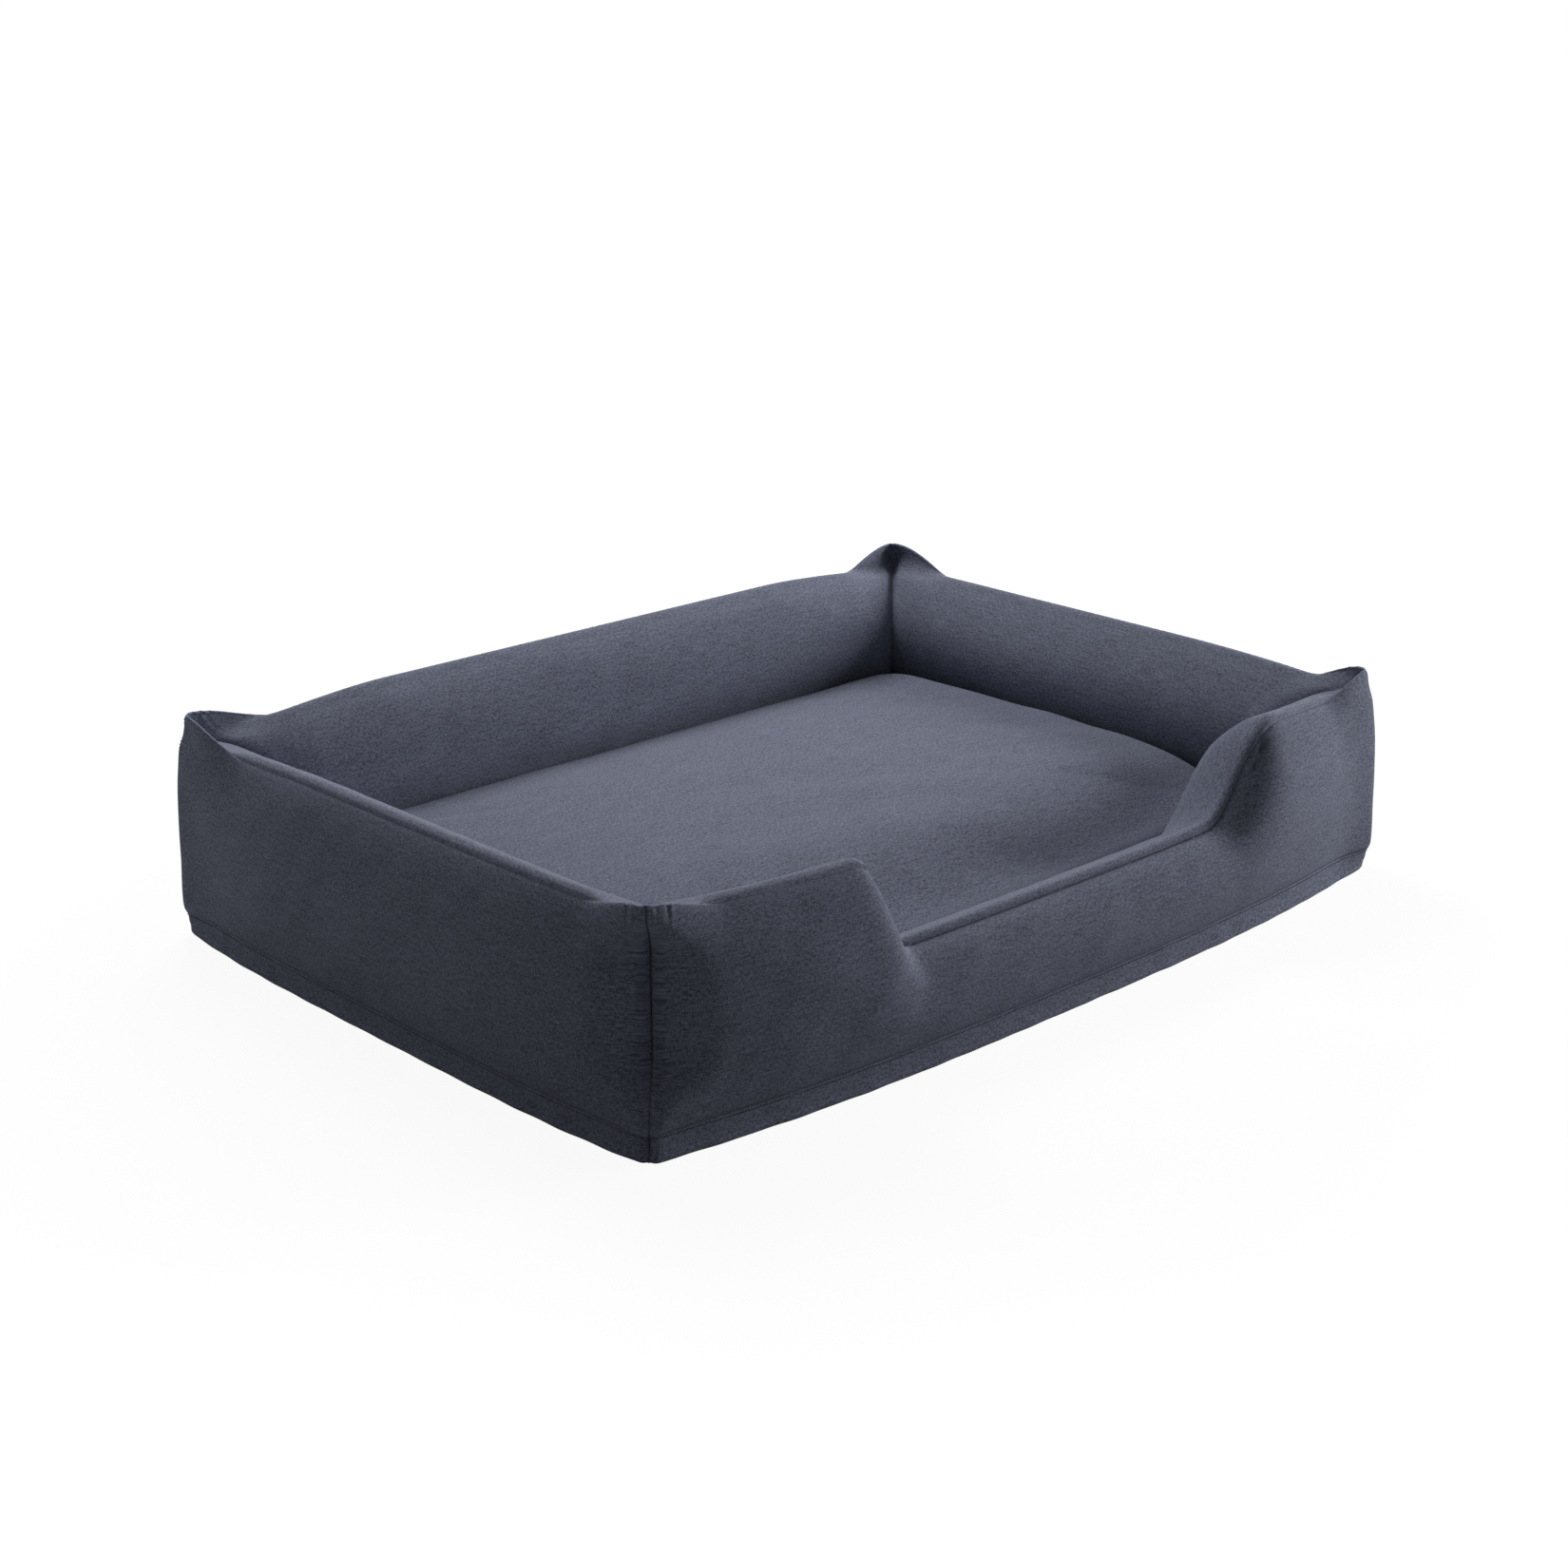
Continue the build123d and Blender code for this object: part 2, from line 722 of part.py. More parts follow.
def mattress_block(depth):
    """The cushion's crowned block at a depth below its surface, lofted up its levels."""
    levels = inset_points(mattress_levels, depth)
    levels[0] = (mattress_levels[0][0] + depth / 2, depth)
    levels[-1] = (mattress_levels[-1][0], mattress_levels[-1][1] - depth)
    with BuildPart() as block:
        for place, level in levels:
            half_length = mattress_length / 2 - place
            half_depth = mattress_depth / 2 - place
            corner = mattress_corner_share * half_depth
            tuck = corner * (1 - sqrt(1 / 2))
            with BuildSketch(Plane.XY.offset(mattress_base + level)):
                with BuildLine():
                    for across, back in ((1, -1), (1, 1), (-1, 1), (-1, -1)):
                        along_x = (across * (half_length - corner), back * half_depth)
                        along_y = (across * half_length, back * (half_depth - corner))
                        turn = (across * (half_length - tuck), back * (half_depth - tuck))
                        ThreePointArc(along_x, turn, along_y)
                    front = inner_bow_share * front_bow * half_length / mattress_length * 2
                    side = inner_bow_share * side_bow * half_depth / mattress_depth * 2
                    near = (half_length - corner, -half_depth)
                    ThreePointArc((-near[0], near[1]), (0, -half_depth - front), near)
                    Line((-near[0], half_depth), (near[0], half_depth))
                    for across in (-1, 1):
                        end = (across * half_length, half_depth - corner)
                        ThreePointArc(end, (across * (half_length + side), 0), (end[0], -end[1]))
                make_face()
        loft(ruled=True)
    return block.part


mattress_skin = mattress_block(0)
mattress_lining = mattress_block(cloth)
mattress_seam = Plane.XY.offset(mattress_base + mattress_seam_share * mattress_side_height)
for half, kept in (("top", Keep.TOP), ("bottom", Keep.BOTTOM)):
    with BuildPart() as mattress_cover:
        add(mattress_skin)
        add(mattress_lining, mode=Mode.SUBTRACT)
        split(bisect_by=mattress_seam, keep=kept)
        if half == "bottom":
            with BuildSketch(mattress_valve_plane):
                Circle(valve_tube_radius + valve_clearance)
            extrude(amount=-cloth, mode=Mode.SUBTRACT)
    save(mattress_cover, f"mattress_cover_{half}")

with BuildPart() as mattress_chamber:
    add(mattress_block(chamber_depth))
    add(mattress_block(chamber_depth + film), mode=Mode.SUBTRACT)
    with BuildSketch(mattress_valve_plane):
        Circle(valve_tube_radius)
    extrude(amount=-valve_flange_offset, mode=Mode.SUBTRACT)
save(mattress_chamber, "mattress_chamber")

web_spacing = mattress_length / (mattress_web_count + 1)
with BuildPart() as mattress_webs:
    add(mattress_block(web_depth))
    with Locations((0, 0, mattress_base + mattress_side_height / 2)):
        with GridLocations(web_spacing, base_depth, mattress_web_count, 1):
            Box(web_film, base_depth, base_depth, mode=Mode.INTERSECT)
save(mattress_webs, "mattress_webs")

# Mattress valve: a body flush with the underside, closed by a cap that turns in its mouth
save(valve_body(mattress_valve_plane, False), "mattress_valve_body")
save(valve_poppet(mattress_valve_plane), "mattress_valve_poppet")
mattress_spring = coil_spring(mattress_valve_plane, spring_start, spring_end - spring_start)
save(mattress_spring, "mattress_valve_spring")

with BuildPart() as mattress_valve_cap:
    with BuildSketch(mattress_valve_plane.offset(-cap_recess)):
        Circle(valve_bore - valve_clearance)
    extrude(amount=-cap_thickness)
    with BuildSketch(mattress_valve_plane.offset(-cap_recess)):
        Circle(valve_bore - valve_clearance - valve_wall)
        Rectangle(2 * cap_bar_half_width, 2 * valve_bore, mode=Mode.SUBTRACT)
    extrude(amount=-cap_pocket, mode=Mode.SUBTRACT)
save(mattress_valve_cap, "mattress_valve_cap")
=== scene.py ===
import bpy
import numpy as np
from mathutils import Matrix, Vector


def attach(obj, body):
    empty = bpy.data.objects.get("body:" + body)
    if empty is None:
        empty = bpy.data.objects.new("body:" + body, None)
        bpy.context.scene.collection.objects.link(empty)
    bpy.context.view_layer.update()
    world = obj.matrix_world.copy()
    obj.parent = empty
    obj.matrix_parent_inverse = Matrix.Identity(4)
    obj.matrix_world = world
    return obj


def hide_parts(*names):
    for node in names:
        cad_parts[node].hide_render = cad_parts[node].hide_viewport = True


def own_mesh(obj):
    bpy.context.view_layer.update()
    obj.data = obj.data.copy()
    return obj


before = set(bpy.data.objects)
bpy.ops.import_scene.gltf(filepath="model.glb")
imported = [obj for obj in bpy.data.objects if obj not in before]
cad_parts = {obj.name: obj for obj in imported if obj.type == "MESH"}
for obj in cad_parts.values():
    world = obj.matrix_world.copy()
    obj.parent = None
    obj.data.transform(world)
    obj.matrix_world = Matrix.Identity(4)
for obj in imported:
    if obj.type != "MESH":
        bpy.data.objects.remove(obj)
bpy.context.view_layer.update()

# Outer wall panels
# The four upright faces of the cover are cut from one heavy woven cloth. Each is sewn to the
# base band below, to the top panel along the outer top edge and to its neighbours in upright
# corner seams, and the air chamber behind it pushes it out between its seams.
base_width = 1.100
base_depth = 0.770
band_height = 0.025
cloth_thickness = 0.0016
wall_thickness = 0.098
corner_run = 0.260
dip_height = 0.128
# The entry's left and right ends: how far each lies from the middle, and the run of its ramp.
dips = {-1: {"half_width": 0.260, "run": 0.100}, 1: {"half_width": 0.299, "run": 0.150}}
wall_bulge = 0.014
seam_inset = 0.017
seam_drop = 0.005
crest_inset = 0.022
entry_setback = 0.009
roll_power = 1.3
foot_inset = 0.028
inner_bow_share = 0.6
mitre_reach = 1.27 * wall_thickness
zip_half_length = 0.430
# At each corner: the seam's peak, the run it rises over and its inset there, the swell of the
# face, the flare of its foot, the radii of the corner's middle and foot, the crest's height, how
# far the face is drawn in, the depths of the hollow and notch by the peak, and the band's tuck.
corners = {
    "near": {"peak": 0.246, "run": 0.090, "inset": 0.009, "swell": 0.004, "flare": 0.002,
             "radius": 0.080, "foot": 0.012, "crest": 0.234, "draw": 0.010, "hollow": 0.0,
             "notch": 0.002, "tuck": 0.0},
    "right": {"peak": 0.243, "run": 0.080, "inset": 0.005, "swell": 0.004, "flare": 0.012,
              "radius": 0.012, "foot": 0.014, "crest": 0.221, "draw": 0.0, "hollow": 0.002,
              "notch": 0.005, "tuck": 0.005},
    "far": {"peak": 0.256, "run": 0.125, "inset": 0.009, "swell": 0.007, "flare": 0.005,
            "radius": 0.030, "foot": 0.016, "crest": 0.228, "draw": 0.0, "hollow": 0.004,
            "notch": 0.010, "tuck": 0.0},
    "left": {"peak": 0.252, "run": 0.130, "inset": 0.006, "swell": 0.003, "flare": 0.009,
             "radius": 0.012, "foot": 0.014, "crest": 0.226, "draw": 0.0, "hollow": 0.004,
             "notch": 0.005, "tuck": 0.005},
}
# At each wall: its turn from the front one, half its run, its distance from the middle, how far
# it bows out and how square that bow is, its height, its seed and the corners at its two ends.
wall_sides = {
    "front": {"turn": 0, "half_run": base_width / 2, "reach": base_depth / 2, "bow": 0.036,
              "sharpness": 2.9, "height": 0.230, "seed": 11, "ends": ("near", "right")},
    "right": {"turn": 90, "half_run": base_depth / 2, "reach": base_width / 2, "bow": 0.016,
              "sharpness": 4.2, "height": 0.226, "seed": 12, "ends": ("right", "far")},
    "back": {"turn": 180, "half_run": base_width / 2, "reach": base_depth / 2, "bow": 0.0,
             "sharpness": 2.0, "height": 0.243, "seed": 13, "ends": ("far", "left")},
    "left": {"turn": 270, "half_run": base_depth / 2, "reach": base_width / 2, "bow": 0.016,
             "sharpness": 4.2, "height": 0.235, "seed": 14, "ends": ("left", "near")},
}


def corner_value(side, along, name):
    """A value of the nearer corner at each place along a wall."""
    start, end = (corners[corner][name] for corner in wall_sides[side]["ends"])
    return np.where(along < 0, start, end)


def dip_value(along, name):
    """A value of the entry's nearer end at each place along the front wall."""
    return np.where(along < 0, dips[-1][name], dips[1][name])


def eased(share):
    """A ramp from 0 to 1 with level ends: three times the square less twice the cube."""
    held = np.clip(share, 0, 1)
    return held * held * (3 - 2 * held)


def wall_columns(side):
    """Places along a wall from corner to corner, with a fine step at the corners and at the
    shoulders of the entry and a wider one between them."""
    half_run = wall_sides[side]["half_run"]
    stops = [0, 0.030, 0.090, half_run]
    steps = [0.0015, 0.003, 0.005]
    if side == "front":
        stops = [0, 0.030, 0.090, 0.220, 0.370, half_run]
        steps = [0.0015, 0.003, 0.005, 0.002, 0.005]
    spans = zip(stops, stops[1:], steps)
    edge = np.concatenate([np.arange(low, high - step / 2, step) for low, high, step in spans])
    return np.concatenate([edge - half_run, [0.0], (half_run - edge)[::-1]])


def wall_lines(side, along, peaked=True):
    """Control points of the wall's section at each place along it, as inset from the base line
    and height. The outer line leaves the band, swells by the bulge and comes in to the seam.
    The top line climbs from the seam to the crest and falls as a slightly flattened quarter
    ellipse to the belly and then to the foot. The crest drops at the corners, and into the entry
    by a ramp of a ramp, where the seam also lies further in. The seam peaks at the corners."""
    shape = wall_sides[side]
    edge = shape["half_run"] - abs(along)
    height = shape["height"]
    low = corner_value(side, along, "crest")
    crest = low + (height - low) * eased(edge / corner_run)
    setback = np.zeros_like(along)
    if side == "front":
        half_width, run = dip_value(along, "half_width"), dip_value(along, "run")
        setback = entry_setback * eased((half_width + 0.050 - abs(along)) / 0.060)
        lowering = eased(eased((half_width + run / 2 - abs(along)) / run))
        crest = crest - (crest - dip_height) * lowering
    swell = corner_value(side, along, "swell")
    bulge = swell + (wall_bulge * crest / height - swell) * eased(edge / corner_run)
    peak = peaked * (1 - eased((edge - 0.006) / corner_value(side, along, "run")))
    seam_level = crest - seam_drop + peak * (corner_value(side, along, "peak") - crest + seam_drop)
    seam_place = seam_inset + setback + peak * (corner_value(side, along, "inset") - seam_inset)
    crest_place = crest_inset + 0.7 * setback
    power = roll_power + 0.12 * setback / entry_setback
    rise = seam_level - band_height
    # Shares of the bulge, of the seam's inset and of the rise from the band to the seam.
    shares = (
        (0, 0, 0), (0.66, 0, 0.20), (1, 0, 0.44), (0.84, 0.10, 0.72), (0.34, 0.46, 0.90), (0, 1, 1)
    )
    outer = [
        (seam_place * inward - bulge * out, band_height + rise * up) for out, inward, up in shares
    ]
    lowered = (height - crest) / height
    thickness = wall_thickness + (1 - inner_bow_share) * bow_at(side, along)
    belly = crest * (0.68 - 0.22 * lowered)
    halfway = ((seam_place + crest_place) / 2, crest + (seam_level - crest) / 4)
    top = [(seam_place, seam_level), halfway]
    for turn in np.linspace(0, np.pi / 2, 5):
        place = crest_place + (thickness - crest_place) * np.sin(turn) ** power
        top.append((place, belly + (crest - belly) * np.maximum(np.cos(turn), 0) ** power))
    top.append((thickness - foot_inset / 2, belly / 2))
    top.append((thickness - foot_inset, np.full_like(along, 0.002)))
    return [
        np.stack([np.stack(np.broadcast_arrays(*point), -1) for point in line], 1)
        for line in (outer, top)
    ]


def bow_at(side, along):
    """How far the base line stands out: the full bow less a power of the distance from the
    middle."""
    shape = wall_sides[side]
    return shape["bow"] * (1 - np.minimum(abs(along) / shape["half_run"], 1) ** shape["sharpness"])


def through(points, counts):
    """Smooth lines through rows of control points, all lines at once. Each span is a cubic that
    leaves a point along the mean of its two spans' headings, and counts gives its steps."""
    step = np.diff(points, axis=1)
    length = np.maximum(np.linalg.norm(step, axis=2, keepdims=True), 1e-7)
    heading = step / length
    slope = np.empty_like(points)
    ahead, behind = length[:, 1:], length[:, :-1]
    slope[:, 1:-1] = (heading[:, 1:] * behind + heading[:, :-1] * ahead) / (ahead + behind)
    slope[:, 0] = 1.5 * heading[:, 0] - 0.5 * slope[:, 1]
    slope[:, -1] = 1.5 * heading[:, -1] - 0.5 * slope[:, -2]
    rows = []
    for span, count in enumerate(counts):
        t = (np.arange(count) / count)[None, :, None]
        start, end = points[:, span, None], points[:, span + 1, None]
        leave = slope[:, span, None] * length[:, span, None]
        arrive = slope[:, span + 1, None] * length[:, span, None]
        rows.append(
            start * (2 * t**3 - 3 * t**2 + 1) + leave * (t**3 - 2 * t**2 + t)
            + end * (3 * t**2 - 2 * t**3) + arrive * (t**3 - t**2)
        )
    rows.append(points[:, -1:])
    return np.concatenate(rows, axis=1)


def lengths_along(lines):
    """Distance of each point from the first point of its line, measured along the line."""
    steps = np.linalg.norm(np.diff(lines, axis=1), axis=2)
    return np.concatenate([np.zeros((len(lines), 1)), np.cumsum(steps, axis=1)], axis=1)


def outward(lines):
    """The section's unit normals: the heading along each line, turned a quarter to the outside."""
    heading = np.gradient(lines, axis=1)
    heading /= np.maximum(np.linalg.norm(heading, axis=2, keepdims=True), 1e-9)
    return np.stack([-heading[..., 1], heading[..., 0]], -1)


def ripple(place, wave, seed):
    """Uneven waves along a line: five sines whose lengths lie near the given one, with seeded
    lengths and starts, so that the sum stays between about minus 1 and 1."""
    random = np.random.default_rng(seed)
    total = np.zeros_like(place)
    for share in random.uniform(0.65, 1.5, 5):
        total += np.sin(2 * np.pi * place / (wave * share) + random.uniform(0, 2 * np.pi)) / 2.4
    return total


def wall_points(side, along, lines):
    """Section points (inset, height) set up along the wall. Near a corner the columns slant, so
    that the last of them lies in the corner's mitre plane."""
    shape = wall_sides[side]
    edge = shape["half_run"] - abs(along)
    slant = np.clip(1 - edge / mitre_reach, 0, 1) * np.sign(along)
    inset, level = lines[..., 0], lines[..., 1]
    across = along[:, None] - slant[:, None] * inset
    inward = inset - bow_at(side, along)[:, None] - shape["reach"]
    turn = np.radians(shape["turn"])
    x = across * np.cos(turn) - inward * np.sin(turn)
    y = across * np.sin(turn) + inward * np.cos(turn)
    return np.stack([x, y, level], -1), across


def corner_flare(side, along):
    """How far the foot of a wall stands out at its corners: a bell over the distance to them."""
    edge = wall_sides[side]["half_run"] - abs(along)
    return corner_value(side, along, "flare") * np.exp(-((edge / 0.035) ** 2))


def corner_round(edge, radius):
    """How far a face draws in towards a corner: a parabola over the radius, 0.43 of it deep, so
    that the two faces are almost in line where they meet in the mitre."""
    return 0.43 * radius * np.clip(1 - edge / radius, 0, 1) ** 2


def grid_faces(rows, columns):
    """Four corners of each face on a grid of points, in an order that faces first x second."""
    index = np.arange(rows * columns).reshape(rows, columns)
    around = [index[:-1, :-1], index[1:, :-1], index[1:, 1:], index[:-1, 1:]]
    return np.stack(around, -1).reshape(-1, 4)


def mesh_object(name, points, faces, smooth_faces, material):
    """An object from points and faces, the first so many of them shaded smooth."""
    mesh = bpy.data.meshes.new(name)
    mesh.from_pydata(points.reshape(-1, 3).tolist(), [], faces)
    mesh.polygons.foreach_set("use_smooth", np.arange(len(mesh.polygons)) < smooth_faces)
    mesh.materials.append(material)
    piece = bpy.data.objects.new(name, mesh)
    bpy.context.scene.collection.objects.link(piece)
    return piece


def cloth_object(name, points, faces, chart, near_seam, material, thickness=cloth_thickness):
    """A piece of cloth from points, faces and a flat chart in metres, given its thickness
    inward. near_seam is 1 at a seam and 0 away from it, for the paler thread there, which is
    partly wear and partly painted highlight."""
    piece = mesh_object(name, points, faces.tolist(), len(faces), material)
    mesh = piece.data
    mesh.uv_layers.new(name="weave")
    mesh.uv_layers["weave"].data.foreach_set("uv", chart.reshape(-1, 2)[faces.ravel()].ravel())
    wear_and_highlight = mesh.attributes.new("near_seam", "FLOAT", "POINT")
    wear_and_highlight.data.foreach_set("value", near_seam.ravel())
    wall = piece.modifiers.new("cloth_thickness", "SOLIDIFY")
    wall.thickness = thickness
    wall.offset = -1
    return piece


def new_material(name):
    """A material with its nodes and their links."""
    material = bpy.data.materials.new(name)
    material.use_nodes = True
    return material, material.node_tree.nodes, material.node_tree.links


def set_inputs(node, values):
    """Sets a node's sockets from their names and values."""
    for socket, value in values.items():
        node.inputs[socket].default_value = value


def woven_cloth(name, dark_thread, light_thread, sheen=0.10):
    """Heavy two-tone cloth. Each thread changes shade along its length, so the warp gives long
    thin flecks and the weft short ones. Broad soft patches lie over both, the weave stands up
    as crossed sines, and the thread is painted paler at the seams, partly for wear and partly as
    a painted highlight where the seam ridges catch the light."""
    material, nodes, links = new_material(name)
    shader = nodes["Principled BSDF"]
    chart = nodes.new("ShaderNodeUVMap")
    chart.uv_map = "weave"

    def scaled(size_u, size_v):
        mapping = nodes.new("ShaderNodeMapping")
        set_inputs(mapping, {"Scale": (1 / size_u, 1 / size_v, 1)})
        links.new(chart.outputs["UV"], mapping.inputs["Vector"])
        return mapping.outputs["Vector"]

    def noise(size_u, size_v, detail=2.0):
        texture = nodes.new("ShaderNodeTexNoise")
        texture.noise_dimensions = "2D"
        set_inputs(texture, {"Scale": 1, "Detail": detail})
        links.new(scaled(size_u, size_v), texture.inputs["Vector"])
        return texture.outputs["Fac"]

    def combine(operation, first, second, third=None):
        node = nodes.new("ShaderNodeMath")
        node.operation = operation
        for socket, value in zip(node.inputs, (first, second, third)):
            if isinstance(value, (int, float)):
                socket.default_value = value
            elif value is not None:
                links.new(value, socket)
        return node.outputs[0]

    warp = noise(0.0045, 0.0012)
    weft = noise(0.0012, 0.0036)
    slub = noise(0.024, 0.0024, 1.0)
    patch = noise(0.060, 0.022, 3.0)
    threads = combine("MULTIPLY_ADD", weft, 0.40, combine("MULTIPLY", warp, 0.44))
    threads = combine("MULTIPLY_ADD", slub, 0.16, threads)
    spread = nodes.new("ShaderNodeMapRange")
    set_inputs(spread, {"From Min": 0.38, "From Max": 0.62})
    links.new(threads, spread.inputs["Value"])
    shade = combine("MULTIPLY_ADD", patch, 0.22, spread.outputs["Result"])
    # Thread painted paler near the seams: partly wear, partly a painted highlight on the seam ridges.
    wear_and_highlight = nodes.new("ShaderNodeAttribute")
    wear_and_highlight.attribute_name = "near_seam"
    shade = combine("MULTIPLY_ADD", wear_and_highlight.outputs["Fac"], 0.28, combine("SUBTRACT", shade, 0.11))
    colour = nodes.new("ShaderNodeMix")
    colour.data_type = "RGBA"
    set_inputs(colour, {"A": (*dark_thread, 1), "B": (*light_thread, 1)})
    links.new(shade, colour.inputs["Factor"])
    links.new(colour.outputs["Result"], shader.inputs["Base Color"])

    warp_pitch, weft_pitch = 0.0010, 0.0009
    split = nodes.new("ShaderNodeSeparateXYZ")
    links.new(scaled(warp_pitch / (2 * np.pi), weft_pitch / (2 * np.pi)), split.inputs["Vector"])
    crossing = combine(
        "MULTIPLY", combine("SINE", split.outputs["X"], 0), combine("SINE", split.outputs["Y"], 0)
    )
    relief = combine("MULTIPLY_ADD", crossing, 0.35, threads)
    bump = nodes.new("ShaderNodeBump")
    set_inputs(bump, {"Strength": 0.40, "Distance": 0.0003})
    links.new(relief, bump.inputs["Height"])
    links.new(bump.outputs["Normal"], shader.inputs["Normal"])
    set_inputs(shader, {"Roughness": 0.92, "Specular IOR Level": 0.22})
    pile = {"Sheen Weight": sheen, "Sheen Roughness": 0.55, "Sheen Tint": (0.60, 0.63, 0.74, 1)}
    set_inputs(shader, pile)
    return material


cover_dark = (0.067, 0.074, 0.105)
cover_light = (0.212, 0.230, 0.310)
cover_cloth = woven_cloth("cover_cloth", cover_dark, cover_light)


def softness(along, run, seed):
    """Slow swells of a filled cloth face: slanting long waves along it times slanting long waves
    up it, and a little of a shorter wave."""
    swell = ripple(along[:, None] + 0.35 * run, 0.17, seed)
    swell = swell * ripple(run - 0.2 * along[:, None], 0.13, seed + 50)
    fine = ripple(along[:, None] - 0.6 * run, 0.055, seed + 100)
    return 0.0006 * swell + 0.0002 * fine


def seam_pinch(side, along):
    """Depth of the groove where the outer and top panels meet: deepest in the entry, where the
    seam is pulled straight, and at the corner peaks, and slight along the rest."""
    edge = wall_sides[side]["half_run"] - abs(along)
    depth = 0.0012 + 0.0014 * eased(1 - edge / 0.110)
    if side == "front":
        half_width = dips[-1]["half_width"]
        depth = depth + 0.0022 * eased((half_width - abs(along)) / 0.05)
    return depth


def shoulder(side, along):
    """1 where the top seam bends down into the entry, falling off to both sides by a bell."""
    if side != "front":
        return np.zeros_like(along)
    return np.exp(-(((abs(along) - dip_value(along, "half_width") - 0.012) / 0.022) ** 2))


def seam_gather(side, along, distance):
    """Small pleats across the top seam: fine and faint along it, coarser and deeper round the
    entry's shoulders and beside the corners, fading with distance from the seam."""
    seed = wall_sides[side]["seed"]
    edge = wall_sides[side]["half_run"] - abs(along)
    faint = 0.00025 * ripple(along, 0.011, seed + 200)[:, None] * np.exp(-distance / 0.010)
    bend = (shoulder(side, along) + 0.6 * np.exp(-(((edge - 0.018) / 0.018) ** 2)))[:, None]
    coarse = 0.0013 * ripple(along, 0.0095, seed + 300)[:, None] * np.exp(-distance / 0.012)
    return faint + bend * coarse


# Two small pits at the entry's right shoulder: their places along the wall and below the seam.
shoulder_pits = ((0.324, 0.009), (0.313, 0.013))


def wall_sections(side, along, peaked=True):
    """The wall's two lines of section points, outer and top, with everything that shapes them.
    Swells, gathers, pits, hollows and notches are depths along the section's normals: each is a
    bell or a ramp of the distance from the seam and from the corner. The corner's rounding and
    crease, the foot's flare and tuck and the pinched top seam move the points in or out."""
    shape = wall_sides[side]
    edge = (shape["half_run"] - abs(along))[:, None]
    outer_lines, top_lines = wall_lines(side, along, peaked)
    outer = through(outer_lines, (10, 12, 14, 10, 12))
    top = through(top_lines, (6, 6, 10, 9, 8, 8, 8, 8))
    run = lengths_along(outer)
    seam_distance = run[:, -1:] - run
    rise = run / run[:, -1:]
    foot, radius = (corner_value(side, along, name)[:, None] for name in ("foot", "radius"))
    held = eased(rise / 0.3) * eased((1 - rise) / 0.3)
    radius = foot * (1 - rise) + 0.006 * rise + (radius - 0.006) * held
    relief = softness(along, run, shape["seed"]) * eased(edge / 0.030)
    relief = relief * eased(seam_distance / 0.03) * eased(run / 0.02)
    relief += seam_gather(side, along, seam_distance) * eased(edge / 0.012)
    if side == "front":
        for place, depth in shoulder_pits:
            beside = (along[:, None] - place) / 0.004
            below = (seam_distance - depth) / 0.0035
            relief -= 0.006 * np.exp(-(beside**2 + below**2))
    # A hollow 11 mm from each corner and 20 mm below the seam.
    hollow = 2.7 * edge / 0.011 * np.exp(-edge / 0.011)
    hollow = hollow * corner_value(side, along, "hollow")[:, None]
    relief -= hollow * np.exp(-(((seam_distance - 0.020) / 0.012) ** 2))
    outer = outer + outward(outer) * relief[..., None]
    outer[..., 0] += corner_round(edge, radius) + 0.0009 * np.exp(-edge / 0.0022)
    outer[..., 0] -= corner_flare(side, along)[:, None] * (1 - rise) ** 0.9
    draw = corner_value(side, along, "draw")[:, None] * np.clip(1 - edge / 0.17, 0, 1) ** 2
    outer[..., 0] += draw * held
    # The face tucks in above the band, but not above the zip.
    tucked = 0.0036 * np.exp(-run / 0.0036) * (1 - 0.6 * np.exp(-edge / 0.030))
    if side == "back":
        tucked = tucked * eased((abs(along) - zip_half_length) / 0.03)[:, None]
    outer[..., 0] += tucked

    fallen = lengths_along(top)
    gap = edge * (1 - np.clip(top[..., 0] / mitre_reach, 0, 1))
    relief = softness(along, fallen, shape["seed"] + 20) * eased(fallen / 0.05) * eased(gap / 0.02)
    relief += seam_gather(side, along, fallen) * eased(edge / 0.012)
    # A crease in each inner corner, and a notch beside the peak that widens towards the seam.
    over_crest = eased((fallen - 0.03) / 0.05)
    relief -= over_crest * (0.0085 * np.exp(-((gap / 0.007) ** 1.2)) + 0.003 * np.exp(-gap / 0.03))
    notch = eased((fallen - 0.004) / 0.012) * (1 - eased((fallen - 0.040) / 0.05))
    width = 0.005 + 0.012 * (1 - eased(fallen / 0.055))
    notch = notch * corner_value(side, along, "notch")[:, None]
    relief -= notch * np.exp(-((gap / width) ** 2))
    top = top + outward(top) * relief[..., None]
    at_seam = np.exp(-fallen / 0.012)
    top[..., 0] += (corner_round(edge, 0.006) + 0.0018 * np.exp(-edge / 0.0028)) * at_seam
    pinch = seam_pinch(side, along)[:, None]
    for line, distance in ((outer, seam_distance), (top, fallen)):
        depth = pinch * np.exp(-((distance / 0.0025) ** 1.4))
        line[..., 0] += 0.6 * depth
        line[..., 1] -= 0.8 * depth
    return outer, top


valve_x = 0.300
valve_level = 0.11828
valve_hole = 0.0143
# How far the paler thread by each seam spreads: partly wear, partly painted highlight.
wear_and_highlight_width = 0.004


def open_hole(points, faces, axes, centre):
    """A valve's round hole: points within its radius go out to its rim, each on its own bearing,
    and the faces that lie wholly within it are left out."""
    offset = points[..., axes] - centre
    away = np.linalg.norm(offset, axis=2, keepdims=True)
    points[..., axes] = centre + offset * np.maximum(valve_hole / np.maximum(away, 1e-6), 1)
    inside = (away < valve_hole).ravel()
    return faces[~inside[faces].all(axis=1)]


